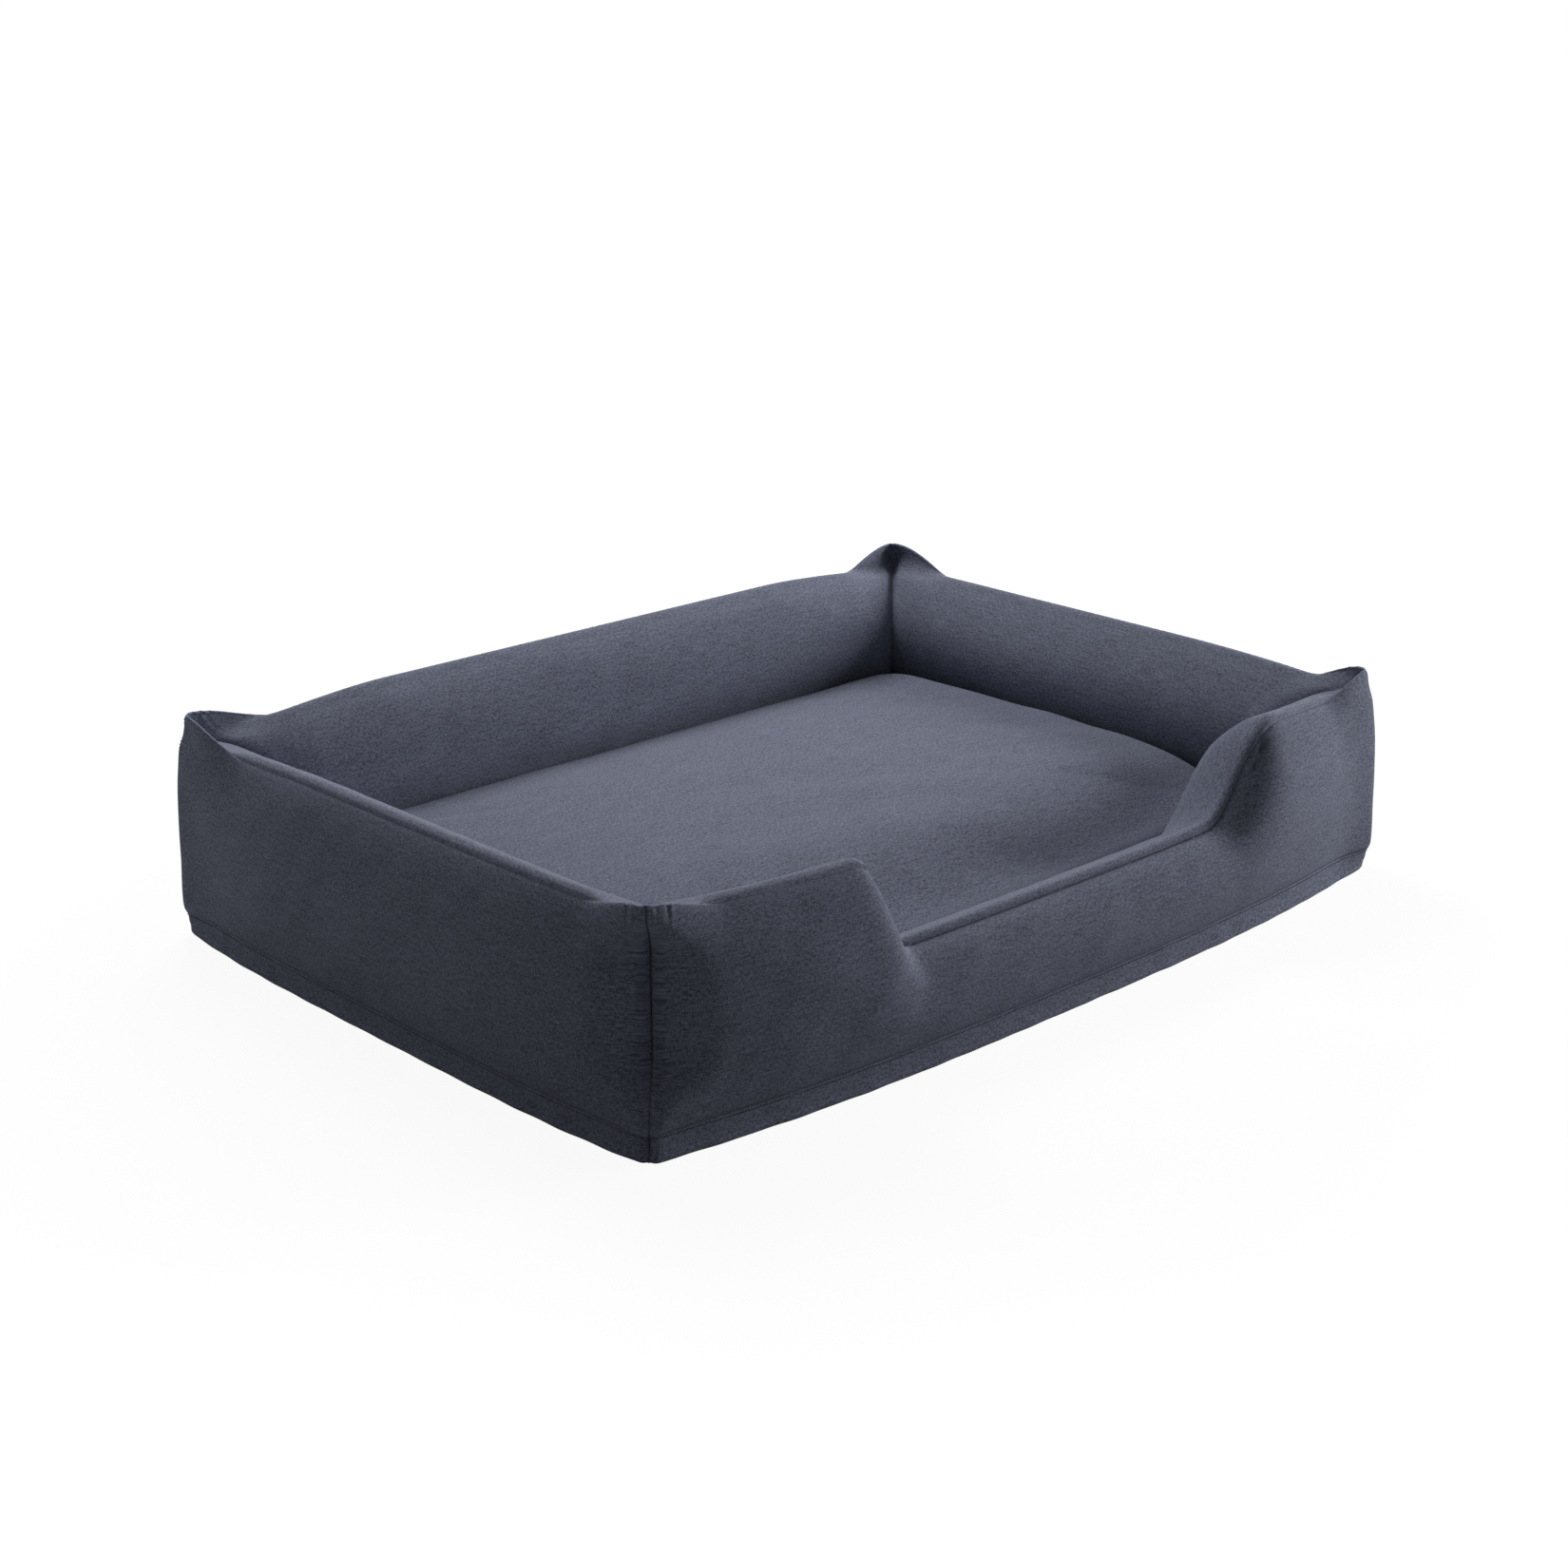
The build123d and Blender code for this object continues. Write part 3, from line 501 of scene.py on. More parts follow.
for side, shape in wall_sides.items():
    along = wall_columns(side)
    outer, top = wall_sections(side, along)
    points, across = wall_points(side, along, outer)
    run = lengths_along(outer)
    faces = grid_faces(*run.shape)
    if side == "back":
        faces = open_hole(points, faces, [0, 2], (valve_x, valve_level))
    to_seam = np.minimum(run, run[:, -1:] - run)
    edge = (shape["half_run"] - abs(along))[:, None] + 0 * run
    # Paler thread by the seams and corners: partly wear, partly painted highlight.
    near_seam = np.exp(-np.minimum(to_seam, edge) / wear_and_highlight_width)
    chart = np.stack([across, run], -1)
    panel = cloth_object(f"cover_outer_{side}", points, faces, chart, near_seam, cover_cloth)
    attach(panel, "bed")
    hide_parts(f"outer_panel_{side}")

# Top and inner wall panels
# One panel to a wall is sewn to the outer face along the outer top edge, rolls over the crest
# and falls to the base panel inside. Neighbouring panels meet in a crease in each inner corner
# and are drawn up into a pinched peak at the outer one.
chart_shift = 0.5
for side, shape in wall_sides.items():
    along = wall_columns(side)
    outer, top = wall_sections(side, along)
    points, across = wall_points(side, along, top)
    run = lengths_along(top)
    edge = (shape["half_run"] - abs(along))[:, None]
    gap = edge * (1 - np.clip(top[..., 0] / mitre_reach, 0, 1))
    # Paler thread by the seams and inner corners: partly wear, partly painted highlight.
    near_seam = np.exp(-np.minimum(run, gap) / wear_and_highlight_width)
    chart = np.stack([across, run + chart_shift], -1)
    faces = grid_faces(*run.shape)
    panel = cloth_object(f"cover_top_{side}", points, faces, chart, near_seam, cover_cloth)
    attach(panel, "bed")
    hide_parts(f"inner_panel_{side}")

# Wall air chambers
# Inside each wall lies a bag of coated film, welded to shape, a little smaller than the cover
# all round. Its ends stop short of the next chambers at the corners, and its outer foot is
# rounded up from the floor.
def plastic(name, colour, roughness, coat=0.0, metallic=0.0, grain=0.0004):
    """A smooth moulded, rolled or plated finish with a fine uneven grain in its gloss."""
    material, nodes, links = new_material(name)
    shader = nodes["Principled BSDF"]
    place = nodes.new("ShaderNodeTexCoord")
    texture = nodes.new("ShaderNodeTexNoise")
    set_inputs(texture, {"Scale": 1 / grain, "Detail": 3})
    links.new(place.outputs["Object"], texture.inputs["Vector"])
    tone = nodes.new("ShaderNodeMix")
    tone.data_type = "RGBA"
    darker, lighter = [0.88 * part for part in colour], [min(1.1 * part, 1) for part in colour]
    set_inputs(tone, {"A": (*darker, 1), "B": (*lighter, 1)})
    links.new(texture.outputs["Fac"], tone.inputs["Factor"])
    links.new(tone.outputs["Result"], shader.inputs["Base Color"])
    gloss = nodes.new("ShaderNodeMapRange")
    set_inputs(gloss, {"To Min": roughness * 0.85, "To Max": min(roughness * 1.15, 1)})
    links.new(texture.outputs["Fac"], gloss.inputs["Value"])
    links.new(gloss.outputs["Result"], shader.inputs["Roughness"])
    bump = nodes.new("ShaderNodeBump")
    set_inputs(bump, {"Strength": 0.15, "Distance": grain / 8})
    links.new(texture.outputs["Fac"], bump.inputs["Height"])
    links.new(bump.outputs["Normal"], shader.inputs["Normal"])
    set_inputs(shader, {"Metallic": metallic, "Coat Weight": coat})
    return material


chamber_film = plastic("chamber_film", (0.56, 0.60, 0.64), 0.42, coat=0.2, grain=0.004)
chamber_depth = 0.0036
corner_gap = 0.014
foot = np.array([[[0.017, chamber_depth]]])
knee = np.array([[[0.004, 0.010]]])
curl_share = np.linspace(0, 1, 8)[None, :-1, None]
for side, shape in wall_sides.items():
    along = wall_columns(side)[::2]
    along = np.clip(along, corner_gap - shape["half_run"], shape["half_run"] - corner_gap)
    outer, top = wall_sections(side, along, peaked=False)
    skin = np.concatenate([outer[:, ::2], top[:, 2::2]], axis=1)
    depth = chamber_depth + 0.016 * np.exp(-(shape["half_run"] - abs(along)) / 0.030)
    skin = skin - depth[:, None, None] * outward(skin)
    # The foot curls up to the start of the skin as a parabola that is drawn towards the knee.
    curl = foot * (1 - curl_share) ** 2 + knee * 2 * curl_share * (1 - curl_share)
    curl = curl + skin[:, :1] * curl_share**2
    skin[:, -1, 1] = chamber_depth
    skin = np.concatenate([curl, skin], axis=1)
    points, across = wall_points(side, along, skin)
    faces = grid_faces(*across.shape)
    count = across.shape[1]
    first = np.arange(len(along)) * count
    under = np.stack([first[:-1], first[:-1] + count - 1, first[1:] + count - 1, first[1:]], -1)
    ends = [list(range(count)), list(range(first[-1] + count - 1, first[-1] - 1, -1))]
    closed = faces.tolist() + under.tolist() + ends
    chamber = mesh_object(f"chamber_{side}", points, closed, len(faces), chamber_film)
    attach(chamber, "bed")
    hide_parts(f"wall_chamber_{side}")

# Base band
# A low strip of the same cloth is sewn round the foot of the walls and to the edge of the base
# panel. It tucks in under the walls and stands out a little where it meets the floor, and at
# the back it is open along the zip.
zip_low = 0.007
band_head = 0.0254
levels = np.array([
    0.0003, 0.0015, 0.003, 0.005, 0.007, 0.010, 0.013, 0.016, 0.019, 0.022, 0.024, band_head
])
place = np.interp(
    levels, [0, 0.003, 0.009, 0.018, band_head], [-0.0026, -0.0022, 0.0010, 0.0026, 0.0036]
)
towards_floor = (1 - levels / band_head) ** 2
for side, shape in wall_sides.items():
    along = wall_columns(side)
    lines = np.stack(np.broadcast_arrays(place[None], levels[None], along[:, None])[:2], -1)
    lines[..., 0] += 0.0006 * ripple(along, 0.06, shape["seed"] + 400)[:, None] * (1 - levels / 0.03)
    if side == "back":
        lines[..., 0] *= eased((abs(along) - zip_half_length) / 0.03)[:, None]
    edge = (shape["half_run"] - abs(along))[:, None]
    foot, tuck = (corner_value(side, along, name)[:, None] for name in ("foot", "tuck"))
    lines[..., 0] += corner_round(edge, foot) + 0.0012 * np.exp(-edge / 0.0028)
    lines[..., 0] -= corner_flare(side, along)[:, None] * (1 - 0.65 * towards_floor)
    lines[..., 0] += tuck * np.exp(-edge / 0.020) * towards_floor
    points, across = wall_points(side, along, lines)
    faces = grid_faces(*across.shape)
    if side == "back":
        level = lines.reshape(-1, 2)[faces].mean(axis=1)[:, 1]
        beside = abs(np.repeat(along, len(levels))[faces]).max(axis=1)
        faces = faces[~((beside < zip_half_length + 0.003) & (level > zip_low))]
    # The band's head is painted paler by its seam: partly wear, partly painted highlight.
    near_seam = np.exp(-(band_height - levels) / 0.003)[None] + 0 * across
    chart = np.stack([across, lines[..., 1] - 0.1], -1)
    band = cloth_object(f"cover_band_{side}", points, faces, chart, near_seam, cover_cloth)
    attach(band, "bed")
    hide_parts(f"base_band_{side}")

# Base panel
# One flat sheet of the cloth lies under the whole bed and closes the cover below. It follows
# the bowed outline of the walls and is sewn to the foot of the base band.
base_level = 0.0019
share = np.linspace(-1, 1, 121)
across_share, back_share = np.meshgrid(share, share, indexing="ij")
straight_y = back_share * base_depth / 2
front_bow = bow_at("front", across_share * base_width / 2)
x = across_share * (base_width / 2 + bow_at("left", straight_y) - 0.001)
y = (straight_y + np.minimum(back_share, 0) * front_bow) * 0.997
points = np.stack([x, y, np.full_like(x, base_level)], -1)
faces = grid_faces(*x.shape)
base = cloth_object("cover_base", points, faces, points[..., :2], np.zeros_like(x), cover_cloth)
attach(base, "bed")
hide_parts("base_panel")

# Mattress cover
# A crowned cushion of the same cloth in two halves, joined by a seam round its side. It lies
# loose in the well between the walls and lifts out.
mattress_length = base_width - 2 * (wall_thickness + 0.003)
mattress_depth = base_depth - 2 * (wall_thickness + 0.003)
mattress_base = 0.0023
mattress_side = 0.119
mattress_seam = 0.056
mattress_crown = 0.018
mattress_round = 0.13
front_fall = 0.038
front_run = 0.072
edge_steps = 18
flat_share = 0.86


def cushion_points(upper, depth):
    """One half of the cushion on a square grid. The outer rings follow the side's profile, each
    a rounded rectangle with bowed front and sides. Inside them the face rises with the product
    of one less the cube of each share of the way out, and along the front it rolls down by a
    bell, less at the corners. depth sets it inside the surface."""
    if upper:
        profile = [(0.015, mattress_side), (0.006, 0.112), (0.0014, 0.096), (0, 0.070)]
    else:
        profile = [(0.026, 0.0), (0.011, 0.005), (0.0022, 0.018), (0, 0.040)]
    line = through(np.array(profile + [(0, mattress_seam)])[None], (5, 5, 5, 3))[0]
    turn = 1 if upper else -1
    line = line + turn * depth * outward(line[None])[0]
    inner = np.linspace(-flat_share, flat_share, 170)
    outer = flat_share + (1 - flat_share) * np.arange(1, edge_steps + 1) / edge_steps
    grid = np.concatenate([-outer[::-1], inner, outer])
    s, t = np.meshgrid(grid, grid, indexing="ij")
    reach = np.maximum(np.maximum(abs(s), abs(t)), 1e-9)
    ring = np.clip((reach - flat_share) / (1 - flat_share), 0, 1) * edge_steps
    inset = np.interp(ring, np.arange(edge_steps + 1), line[:, 0])
    height = np.interp(ring, np.arange(edge_steps + 1), line[:, 1])
    half_length = mattress_length / 2 - inset
    half_depth = mattress_depth / 2 - inset
    radius = mattress_round * half_depth
    a, b = s / reach, t / reach
    over_x = abs(a) * half_length - (half_length - radius)
    over_y = abs(b) * half_depth - (half_depth - radius)
    corner = (over_x > 0) & (over_y > 0)
    size = np.maximum(np.hypot(over_x, over_y), 1e-9)
    x = np.where(corner, np.sign(a) * (half_length - radius + over_x / size * radius), a * half_length)
    y = np.where(corner, np.sign(b) * (half_depth - radius + over_y / size * radius), b * half_depth)
    bow_x, bow_y = (inner_bow_share * wall_sides[side]["bow"] for side in ("left", "front"))
    bow_x = bow_x * np.clip(1 - (y / half_depth) ** 2, 0, 1) * (abs(x) / half_length) ** 3
    bow_y = bow_y * np.clip(1 - (x / half_length) ** 2, 0, 1) * (abs(y) / half_depth) ** 3
    scale = np.minimum(reach / flat_share, 1)
    x = (x + np.sign(x) * bow_x) * scale
    y = (y - np.where(y < 0, bow_y, 0)) * scale
    z = mattress_base + height
    if upper:
        rise_s = np.clip(abs(s) / flat_share, 0, 1) ** 3
        rise_t = np.clip(abs(t) / flat_share, 0, 1) ** 3
        z = z + (mattress_crown - depth) * (1 - rise_s) * (1 - rise_t)
        from_front = np.maximum(y + half_depth + bow_y, 0)
        fall = front_fall * (0.65 + 0.35 * eased((mattress_length / 2 - abs(x)) / 0.14))
        fall = fall * np.exp(-((from_front / front_run) ** 2))
        z = z - fall * np.clip(height / mattress_side, 0, 1) ** 2
    gone = np.interp(ring, np.arange(edge_steps + 1), lengths_along(line[None])[0])
    across = abs(s) > abs(t)
    chart = np.stack([x + np.sign(s) * gone * across, y + np.sign(t) * gone * ~across], -1)
    return np.stack([x, y, z], -1), ring, chart


mattress_valve = (0.280, -0.150)
# How many rings in from the side seam the paler thread spreads: partly wear, partly painted highlight.
wear_and_highlight_rings = 1.2
for half, upper in (("top", True), ("bottom", False)):
    points, ring, chart = cushion_points(upper, 0.0)
    x, y, z = np.moveaxis(points, -1, 0)
    if upper:
        soft = np.clip(1 - ring / edge_steps, 0, 1)
        points[..., 2] += 0.0009 * ripple(x + 0.3 * y, 0.19, 31) * ripple(y - 0.2 * x, 0.16, 32) * soft
    faces = grid_faces(*x.shape)
    if not upper:
        faces = open_hole(points, faces[:, ::-1], [0, 1], mattress_valve)
    near_seam = np.exp(-(edge_steps - ring) / wear_and_highlight_rings)
    cover = cloth_object(f"mattress_{half}", points, faces, chart, near_seam, cover_cloth)
    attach(cover, "mattress")
    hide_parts(f"mattress_cover_{half}")

# Mattress air chamber
# The cushion's own bag of coated film fills its cover, a little smaller all round. Its two
# faces are welded together round their rim.
bag_depth = 0.0050
halves = [cushion_points(upper, bag_depth)[0] for upper in (True, False)]
size = halves[0].shape[0]
faces = grid_faces(size, size)
points = np.concatenate([half.reshape(-1, 3) for half in halves])
step = np.arange(size)
rim = np.concatenate([step, step * size, step * size + size - 1, step + size * (size - 1)])
lower = faces[:, ::-1] + size * size
joined = np.arange(2 * size * size)
joined[rim + size * size] = rim
both = faces.tolist() + joined[lower].tolist()
bag = mesh_object("mattress_bag", points, both, len(both), chamber_film)
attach(bag, "mattress")
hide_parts("mattress_chamber")

# Mattress webs
# Seven upright sheets of film tie the top and bottom of the bag together, so that it stays a
# cushion. Each runs across the bag from near its front to near its back.
web_count = 7
web_film = 0.0006
web_steps = 6
web_depth = 0.0066
web_margin = 4


def film_object(name, sheets, body, node):
    """Upright sheets of film as one piece, from points of sheets x rows x columns."""
    count, rows, columns = sheets.shape[:3]
    one = grid_faces(rows, columns)
    faces = np.concatenate([one + sheet * rows * columns for sheet in range(count)])
    chart, near_seam = sheets[..., [0, 2]], 0 * sheets[..., 0]
    piece = cloth_object(name, sheets, faces, chart, near_seam, chamber_film, web_film)
    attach(piece, body)
    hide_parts(node)


top_points, bottom_points = (cushion_points(upper, web_depth)[0] for upper in (True, False))
ends = slice(edge_steps + web_margin, size - edge_steps - web_margin)
places = (np.arange(1, web_count + 1) / (web_count + 1) - 0.5) * mattress_length
columns = abs(top_points[None, :, size // 2, 0] - places[:, None]).argmin(axis=1)
web_share = np.linspace(0, 1, web_steps + 1)[None, None, :, None]
below, above = bottom_points[columns, ends, None], top_points[columns, ends, None]
sheets = below * (1 - web_share) + above * web_share
sheets[..., 0] += 0.0008 * np.sin(np.pi * web_share[..., 0]) * np.sin(sheets[..., 1] / 0.03)
film_object("mattress_web", sheets, "mattress", "mattress_webs")

# Wall webs and air links
# Upright sheets of film tie the two faces of each wall chamber together, and short tubes carry
# air from one wall's chamber to the next.
web_spacing = 0.110
web_clearance = 0.0014
web_rows = 25


def give_finish(words, material):
    """Gives the material to every CAD node whose name holds the words."""
    for name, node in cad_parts.items():
        if words in name:
            node.data.materials.clear()
            node.data.materials.append(material)


for side, shape in wall_sides.items():
    reach = int((shape["half_run"] - mitre_reach - 0.010) / web_spacing)
    places = np.arange(-reach, reach + 1) * web_spacing
    sections = wall_sections(side, places, peaked=False)
    skins = [line - (chamber_depth + web_clearance) * outward(line) for line in sections]
    skins = [skins[0], skins[1][:, -5::-1]]
    picks = [np.linspace(0, line.shape[1] - 1, web_rows).astype(int) for line in skins]
    outer, inner = (line[:, pick, None] for line, pick in zip(skins, picks))
    lines = outer * (1 - web_share) + inner * web_share
    beside = np.broadcast_to(places[:, None], lines.shape[:2]).ravel()
    points = wall_points(side, beside, lines.reshape(-1, web_steps + 1, 2))[0]
    sheets = points.reshape(*lines.shape[:3], 3)
    film_object(f"wall_web_{side}", sheets, "bed", f"wall_webs_{side}")
give_finish("air_links", chamber_film)

# Zip
# A moulded zip in the back of the base band lets the chambers out. Two woven tapes are sewn in
# above and below it, and the teeth, the end stops, the slider and its pull run along them.
zip_level = 0.016
tape_start = 0.0031
tape_end = 0.0092
tape_thickness = 0.0009
zip_cloth = woven_cloth("zip_tape", (0.010, 0.011, 0.015), (0.030, 0.032, 0.040), sheen=0.05)
for row, up in (("upper", 1), ("lower", -1)):
    along = np.linspace(-zip_half_length, zip_half_length, 345)
    share = np.linspace(0, 1, 9)[None, ::up]
    heights = zip_level + up * (tape_start + (tape_end - tape_start) * share) + 0 * along[:, None]
    insets = 0.0005 + 0.00012 * ripple(along, 0.05, 71)[:, None] + 0.0003 * share
    lines = np.stack([insets, heights], -1)
    points, across = wall_points("back", along, lines)
    chart, faces = np.stack([across, heights], -1), grid_faces(*across.shape)
    tape = cloth_object(
        f"zip_{row}_tape", points, faces, chart, 0 * across, zip_cloth, tape_thickness
    )
    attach(tape, "bed")
    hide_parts(f"zip_tape_{row}")
zip_plastic = plastic("zip_plastic", (0.020, 0.021, 0.026), 0.35, grain=0.0007)
dark_metal = plastic("dark_metal", (0.13, 0.13, 0.14), 0.30, metallic=1.0, grain=0.0005)
give_finish("zip_teeth", zip_plastic)
give_finish("zip_stops", zip_plastic)
give_finish("zip_slider", dark_metal)
give_finish("zip_pull", dark_metal)

# Inflation valves
# Each valve is a moulded tube with a rim, a spring-held poppet that seals it and a lid or cap.
# One is welded into the back wall's chamber, the other into the underside of the mattress.
valve_plastic = plastic("valve_plastic", (0.045, 0.048, 0.058), 0.40, coat=0.1, grain=0.0009)
spring_steel = plastic("spring_steel", (0.56, 0.56, 0.57), 0.25, metallic=1.0, grain=0.0003)
give_finish("valve", valve_plastic)
give_finish("valve_spring", spring_steel)
give_finish("valve_pin", spring_steel)

# Valve springs
# A coil of steel wire stands under each poppet's button, between the button and the valve's
# body. It holds the poppet shut, and shortens as the poppet is pressed.
body_valve = {"bed": "wall_valve", "mattress": "mattress_valve"}


def coil(name, centre, axis, ends, body):
    """A wire of round section wound about the axis between two levels on it: the helix's points
    plus rings that lie between its outward and its axial headings."""
    coil_radius, wire, turns, steps, ring = 0.0043, 0.00045, 5, 24, 8
    axis = np.array(axis, float)
    first = np.roll(axis, 1)
    second = np.cross(axis, first)
    angle = np.linspace(0, 2 * np.pi * turns, turns * steps + 1)[:, None]
    radial = np.cos(angle) * first + np.sin(angle) * second
    low, high = ends
    level = low + wire + (high - low - 2 * wire) * angle / angle[-1]
    line = np.array(centre) * (1 - axis) + radial * coil_radius + level * axis
    around = (np.arange(ring) * 2 * np.pi / ring)[None, :, None]
    points = line[:, None] + wire * (np.cos(around) * radial[:, None] + np.sin(around) * axis)
    index = np.arange(len(line) * ring).reshape(-1, ring)
    beside = np.roll(index, -1, axis=1)
    faces = np.stack([index[:-1], index[1:], beside[1:], beside[:-1]], -1).reshape(-1, 4).tolist()
    caps = [index[0].tolist(), index[-1, ::-1].tolist()]
    piece = mesh_object(name, points, faces + caps, len(faces), spring_steel)
    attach(piece, body)
    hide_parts(f"{body_valve[body]}_spring")
    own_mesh(piece)


wall_centre, wall_ends = (valve_x, 0, valve_level), (0.38106, 0.39190)
coil("wall_spring", wall_centre, (0, 1, 0), wall_ends, "bed")
under_centre, under_ends = (*mattress_valve, 0), (0.00940, 0.02024)
coil("mattress_spring", under_centre, (0, 0, 1), under_ends, "mattress")

# Seam stitches
# A dark topstitch runs round the head of the base band, and a paler one goes up the corner at
# the start of each outer panel, with a short tack at its top. Every stitch is a short spindle
# of thread half sunk in the cloth.
dark_stitch = plastic("dark_stitch", (0.016, 0.018, 0.026), 0.75, grain=0.0005)
pale_stitch = plastic("pale_stitch", (0.26, 0.27, 0.31), 0.75, grain=0.0005)
stitch_level = 0.0222
taper = np.array((0.28, 0, 0))
# For each seam: the stitches' pitch, their length, width and height, and their thread.
seams = {
    "band": (0.0036, (0.0026, 0.0010, 0.0012), dark_stitch),
    "corner": (0.0042, (0.0026, 0.0009, 0.0011), pale_stitch),
    "tack": (0.0030, (0.0022, 0.0009, 0.0011), pale_stitch),
}


def stitch_row(name, path, facing, seam):
    """Six-sided spindles along a line of points: one every pitch of length, each with the seam's
    length, width and height, its height along the facing."""
    pitch, size, thread = seams[seam]
    gone = lengths_along(path[None])[0]
    centres = np.arange(pitch / 2, gone[-1], pitch)
    place = np.stack([np.interp(centres, gone, path[:, axis]) for axis in range(3)], -1)
    ahead = np.stack([np.interp(centres + pitch / 4, gone, path[:, axis]) for axis in range(3)], -1)
    heading = ahead - place + 1e-9
    heading /= np.linalg.norm(heading, axis=1, keepdims=True)
    beside = np.cross(facing, heading)
    beside /= np.linalg.norm(beside, axis=1, keepdims=True)
    over = np.cross(heading, beside)
    turn = np.arange(6) * np.pi / 3
    ring = np.stack([0 * turn, np.cos(turn), np.sin(turn)], -1)
    shape = np.concatenate([[[-0.5, 0, 0]], ring / 2 - taper, ring / 2 + taper, [[0.5, 0, 0]]])
    shape = shape * size
    points = (
        place[:, None] + shape[None, :, :1] * heading[:, None]
        + shape[None, :, 1:2] * beside[:, None] + shape[None, :, 2:] * over[:, None]
    )
    faces = []
    for near in range(1, 7):
        after = near % 6 + 1
        faces += [(0, after, near), (near, after, 6 + after, 6 + near), (13, 6 + near, 6 + after)]
    repeated = [
        tuple(len(shape) * stitch + corner for corner in face)
        for stitch in range(len(centres)) for face in faces
    ]
    row = mesh_object(name, points, repeated, len(repeated), thread)
    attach(row, "bed")


for side, shape in wall_sides.items():
    turn = np.radians(shape["turn"])
    facing = np.array([np.sin(turn), -np.cos(turn), 0.0])
    along = wall_columns(side)
    edge = shape["half_run"] - abs(along)
    place = 0.0029 + corner_round(edge, corner_value(side, along, "foot")) - corner_flare(side, along)
    if side == "back":
        place = place * eased((abs(along) - zip_half_length) / 0.03)
    lines = np.stack([place, np.full_like(along, stitch_level)], -1)[:, None]
    path = wall_points(side, along, lines)[0][:, 0]
    if side == "back":
        for end, sign in (("left", 1), ("right", -1)):
            past_zip = sign * along > zip_half_length + 0.006
            stitch_row(f"band_stitches_back_{end}", path[past_zip], facing, "band")
    else:
        stitch_row(f"band_stitches_{side}", path[2:-2], facing, "band")
    points = wall_points(side, along, wall_sections(side, along)[0])[0]
    stitch_row(f"corner_stitches_{side}", points[3, 4:-1], facing, "corner")
    stitch_row(f"corner_tack_{side}", np.stack([points[7, -2], points[3, -8]]), facing, "tack")

# Studio
# A pale floor that meets a white surround, and four square lamps: a broad one high behind the
# bed, a weak one low behind its left and two low at its right. The near corner is the darkest.
def stage_material(name, camera_strength, albedo):
    """A matt surface that the camera also sees glow by the given strength, so that it reads as
    white and still keeps the object's shadow, while the object is lit by the matt part alone."""
    material, nodes, links = new_material(name)
    nodes.clear()
    output = nodes.new("ShaderNodeOutputMaterial")
    matt = nodes.new("ShaderNodeBsdfDiffuse")
    set_inputs(matt, {"Color": (albedo, albedo, albedo, 1)})
    seen = nodes.new("ShaderNodeBsdfDiffuse")
    set_inputs(seen, {"Color": (0.09, 0.09, 0.09, 1)})
    glow = nodes.new("ShaderNodeEmission")
    place = nodes.new("ShaderNodeTexCoord")
    distance = nodes.new("ShaderNodeVectorMath")
    distance.operation = "LENGTH"
    links.new(place.outputs["Object"], distance.inputs[0])
    fade = nodes.new("ShaderNodeMapRange")
    set_inputs(fade, {"From Min": 0.75, "From Max": 1.5, "To Min": camera_strength, "To Max": 1.0})
    links.new(distance.outputs["Value"], fade.inputs["Value"])
    links.new(fade.outputs["Result"], glow.inputs["Strength"])
    both = nodes.new("ShaderNodeAddShader")
    links.new(seen.outputs[0], both.inputs[0])
    links.new(glow.outputs[0], both.inputs[1])
    path = nodes.new("ShaderNodeLightPath")
    mix = nodes.new("ShaderNodeMixShader")
    links.new(path.outputs["Is Camera Ray"], mix.inputs["Fac"])
    links.new(matt.outputs[0], mix.inputs[1])
    links.new(both.outputs[0], mix.inputs[2])
    links.new(mix.outputs[0], output.inputs["Surface"])
    return material


floor_corners = 60.0 * np.array([(-1, -1, 0), (1, -1, 0), (1, 1, 0), (-1, 1, 0)])
floor = mesh_object("floor", floor_corners, [(0, 1, 2, 3)], 0, stage_material("floor", 0.93, 0.5))

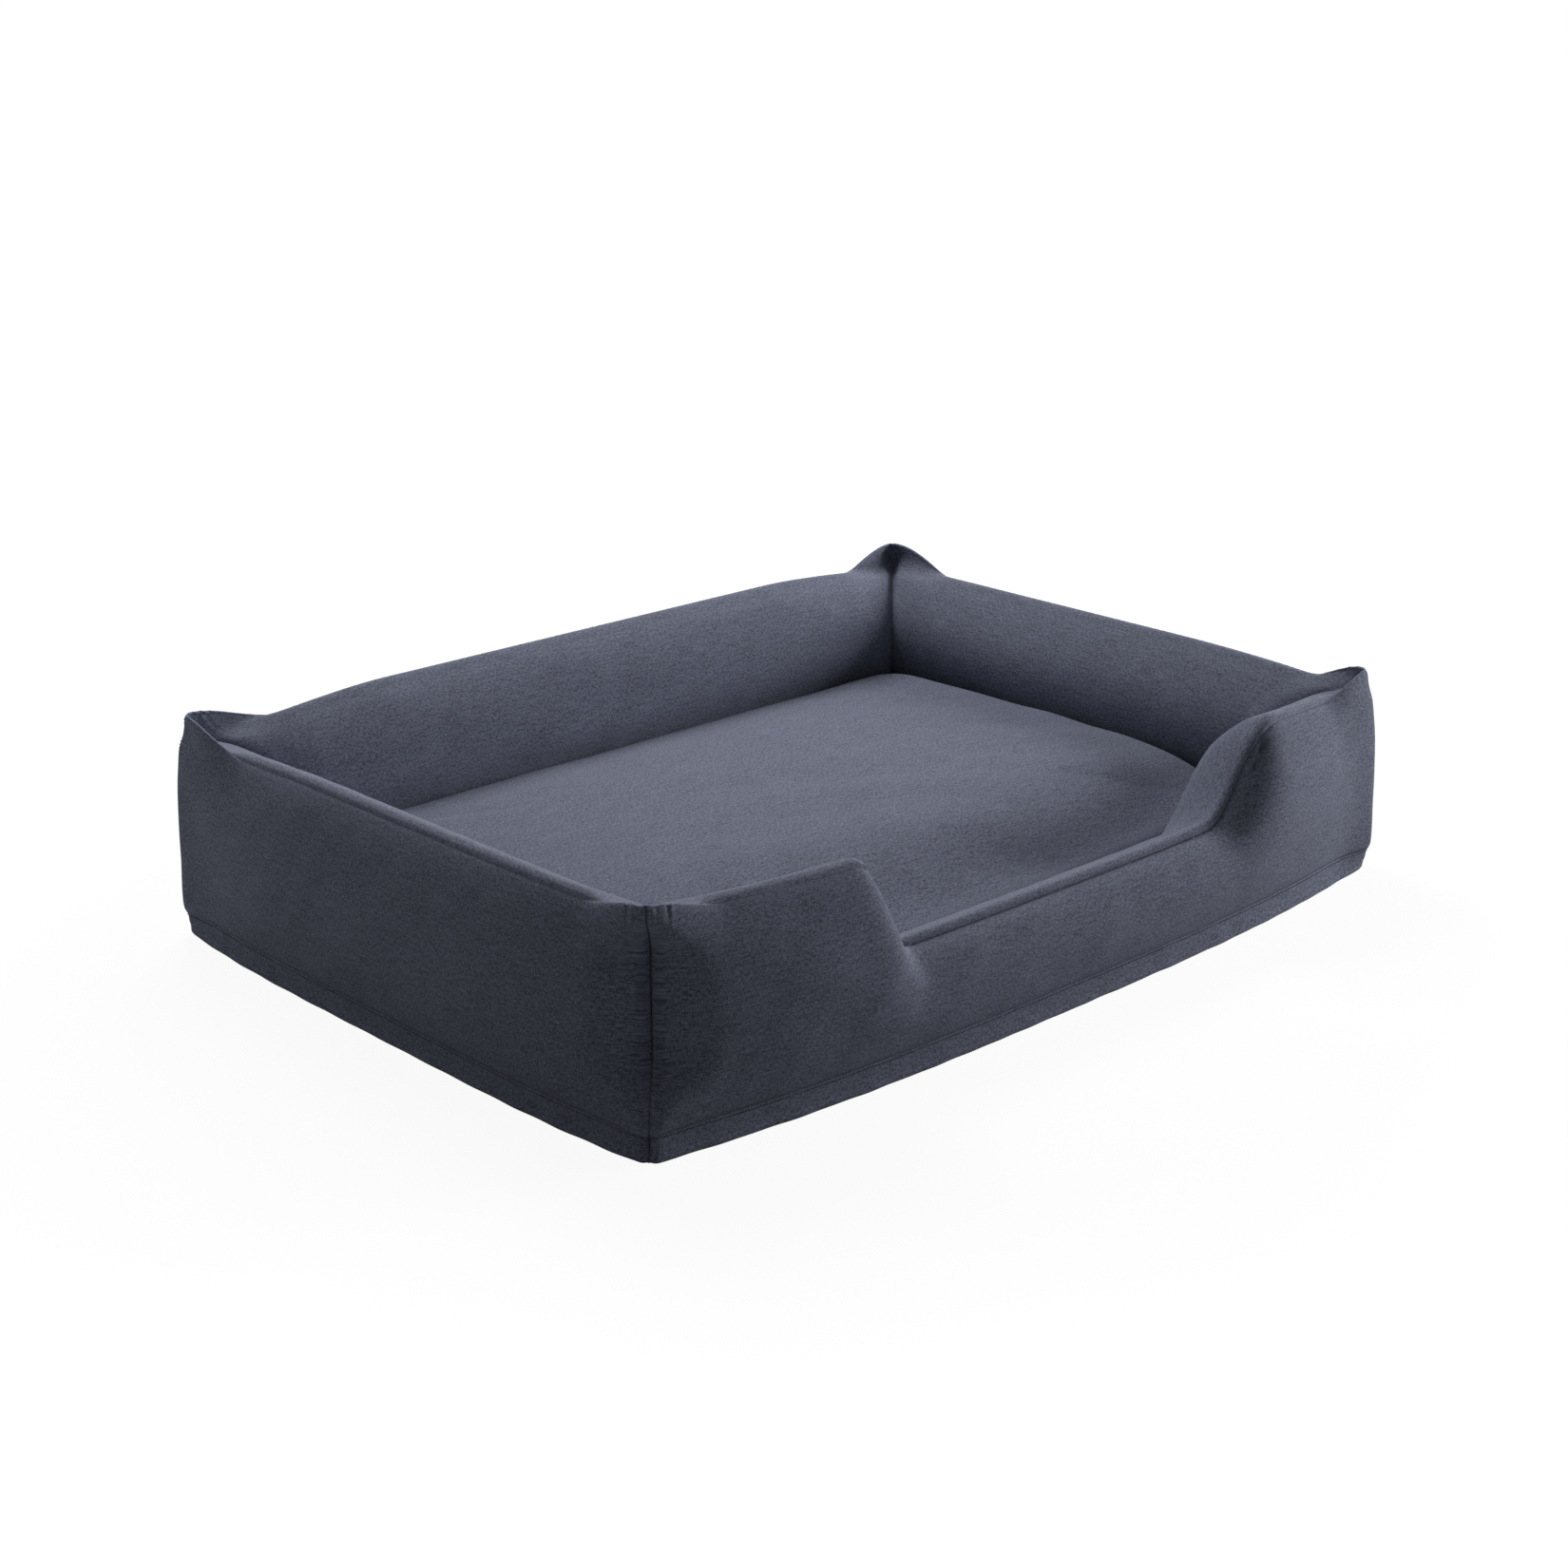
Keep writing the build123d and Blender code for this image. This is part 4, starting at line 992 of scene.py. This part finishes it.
world = bpy.data.worlds.new("surround")
bpy.context.scene.world = world
world.use_nodes = True
world_nodes, world_links = world.node_tree.nodes, world.node_tree.links
surround = world_nodes["Background"]
set_inputs(surround, {"Color": (1, 1, 1, 1)})
rays = world_nodes.new("ShaderNodeLightPath")
seen = rays.outputs["Is Camera Ray"]
for kind in ("Is Glossy Ray", "Is Transmission Ray"):
    either = world_nodes.new("ShaderNodeMath")
    either.operation = "MAXIMUM"
    world_links.new(seen, either.inputs[0])
    world_links.new(rays.outputs[kind], either.inputs[1])
    seen = either.outputs[0]
level = world_nodes.new("ShaderNodeMapRange")
set_inputs(level, {"To Min": 0.10, "To Max": 1.0})
world_links.new(seen, level.inputs["Value"])
world_links.new(level.outputs["Result"], surround.inputs["Strength"])


def soft_light(name, place, aim, size, power):
    """A square lamp of the given size at a place, turned to face the aim."""
    lamp = bpy.data.lights.new(name, "AREA")
    lamp.shape = "RECTANGLE"
    lamp.size, lamp.size_y = size
    lamp.energy = power
    holder = bpy.data.objects.new(name, lamp)
    bpy.context.scene.collection.objects.link(holder)
    towards = np.array(aim, float) - np.array(place, float)
    holder.location = place
    holder.rotation_mode = "QUATERNION"
    holder.rotation_quaternion = Vector(towards).to_track_quat("-Z", "Y")


soft_light("behind", (0.6, 1.7, 2.2), (0, 0, 0.1), (1.4, 1.4), 52)
soft_light("left_side", (-1.4, 2.4, 1.0), (-0.2, 0.1, 0.1), (1.0, 1.0), 11)
soft_light("right_side", (2.6, -1.4, 1.0), (0.1, -0.2, 0.1), (1.0, 1.0), 54)
soft_light("far_right", (3.0, -0.5, 1.0), (0.1, -0.2, 0.1), (1.0, 1.0), 18)

# Camera
# It stands before the near corner, well above the walls. Its place and lens bring the corners of
# the bed's base to where the picture has them.
lens = bpy.data.cameras.new("camera")
lens.lens = 60.757
lens.sensor_width = 36
camera = bpy.data.objects.new("camera", lens)
bpy.context.scene.collection.objects.link(camera)
camera.location = (-1.9406, -2.0249, 1.1051)
aim = Vector((0.04367, 0.0627, 0.11))
camera.rotation_mode = "QUATERNION"
camera.rotation_quaternion = (aim - Vector(camera.location)).to_track_quat("-Z", "Y")
bpy.context.scene.camera = camera
bpy.context.scene.view_settings.view_transform = "Standard"

bpy.context.view_layer.update()
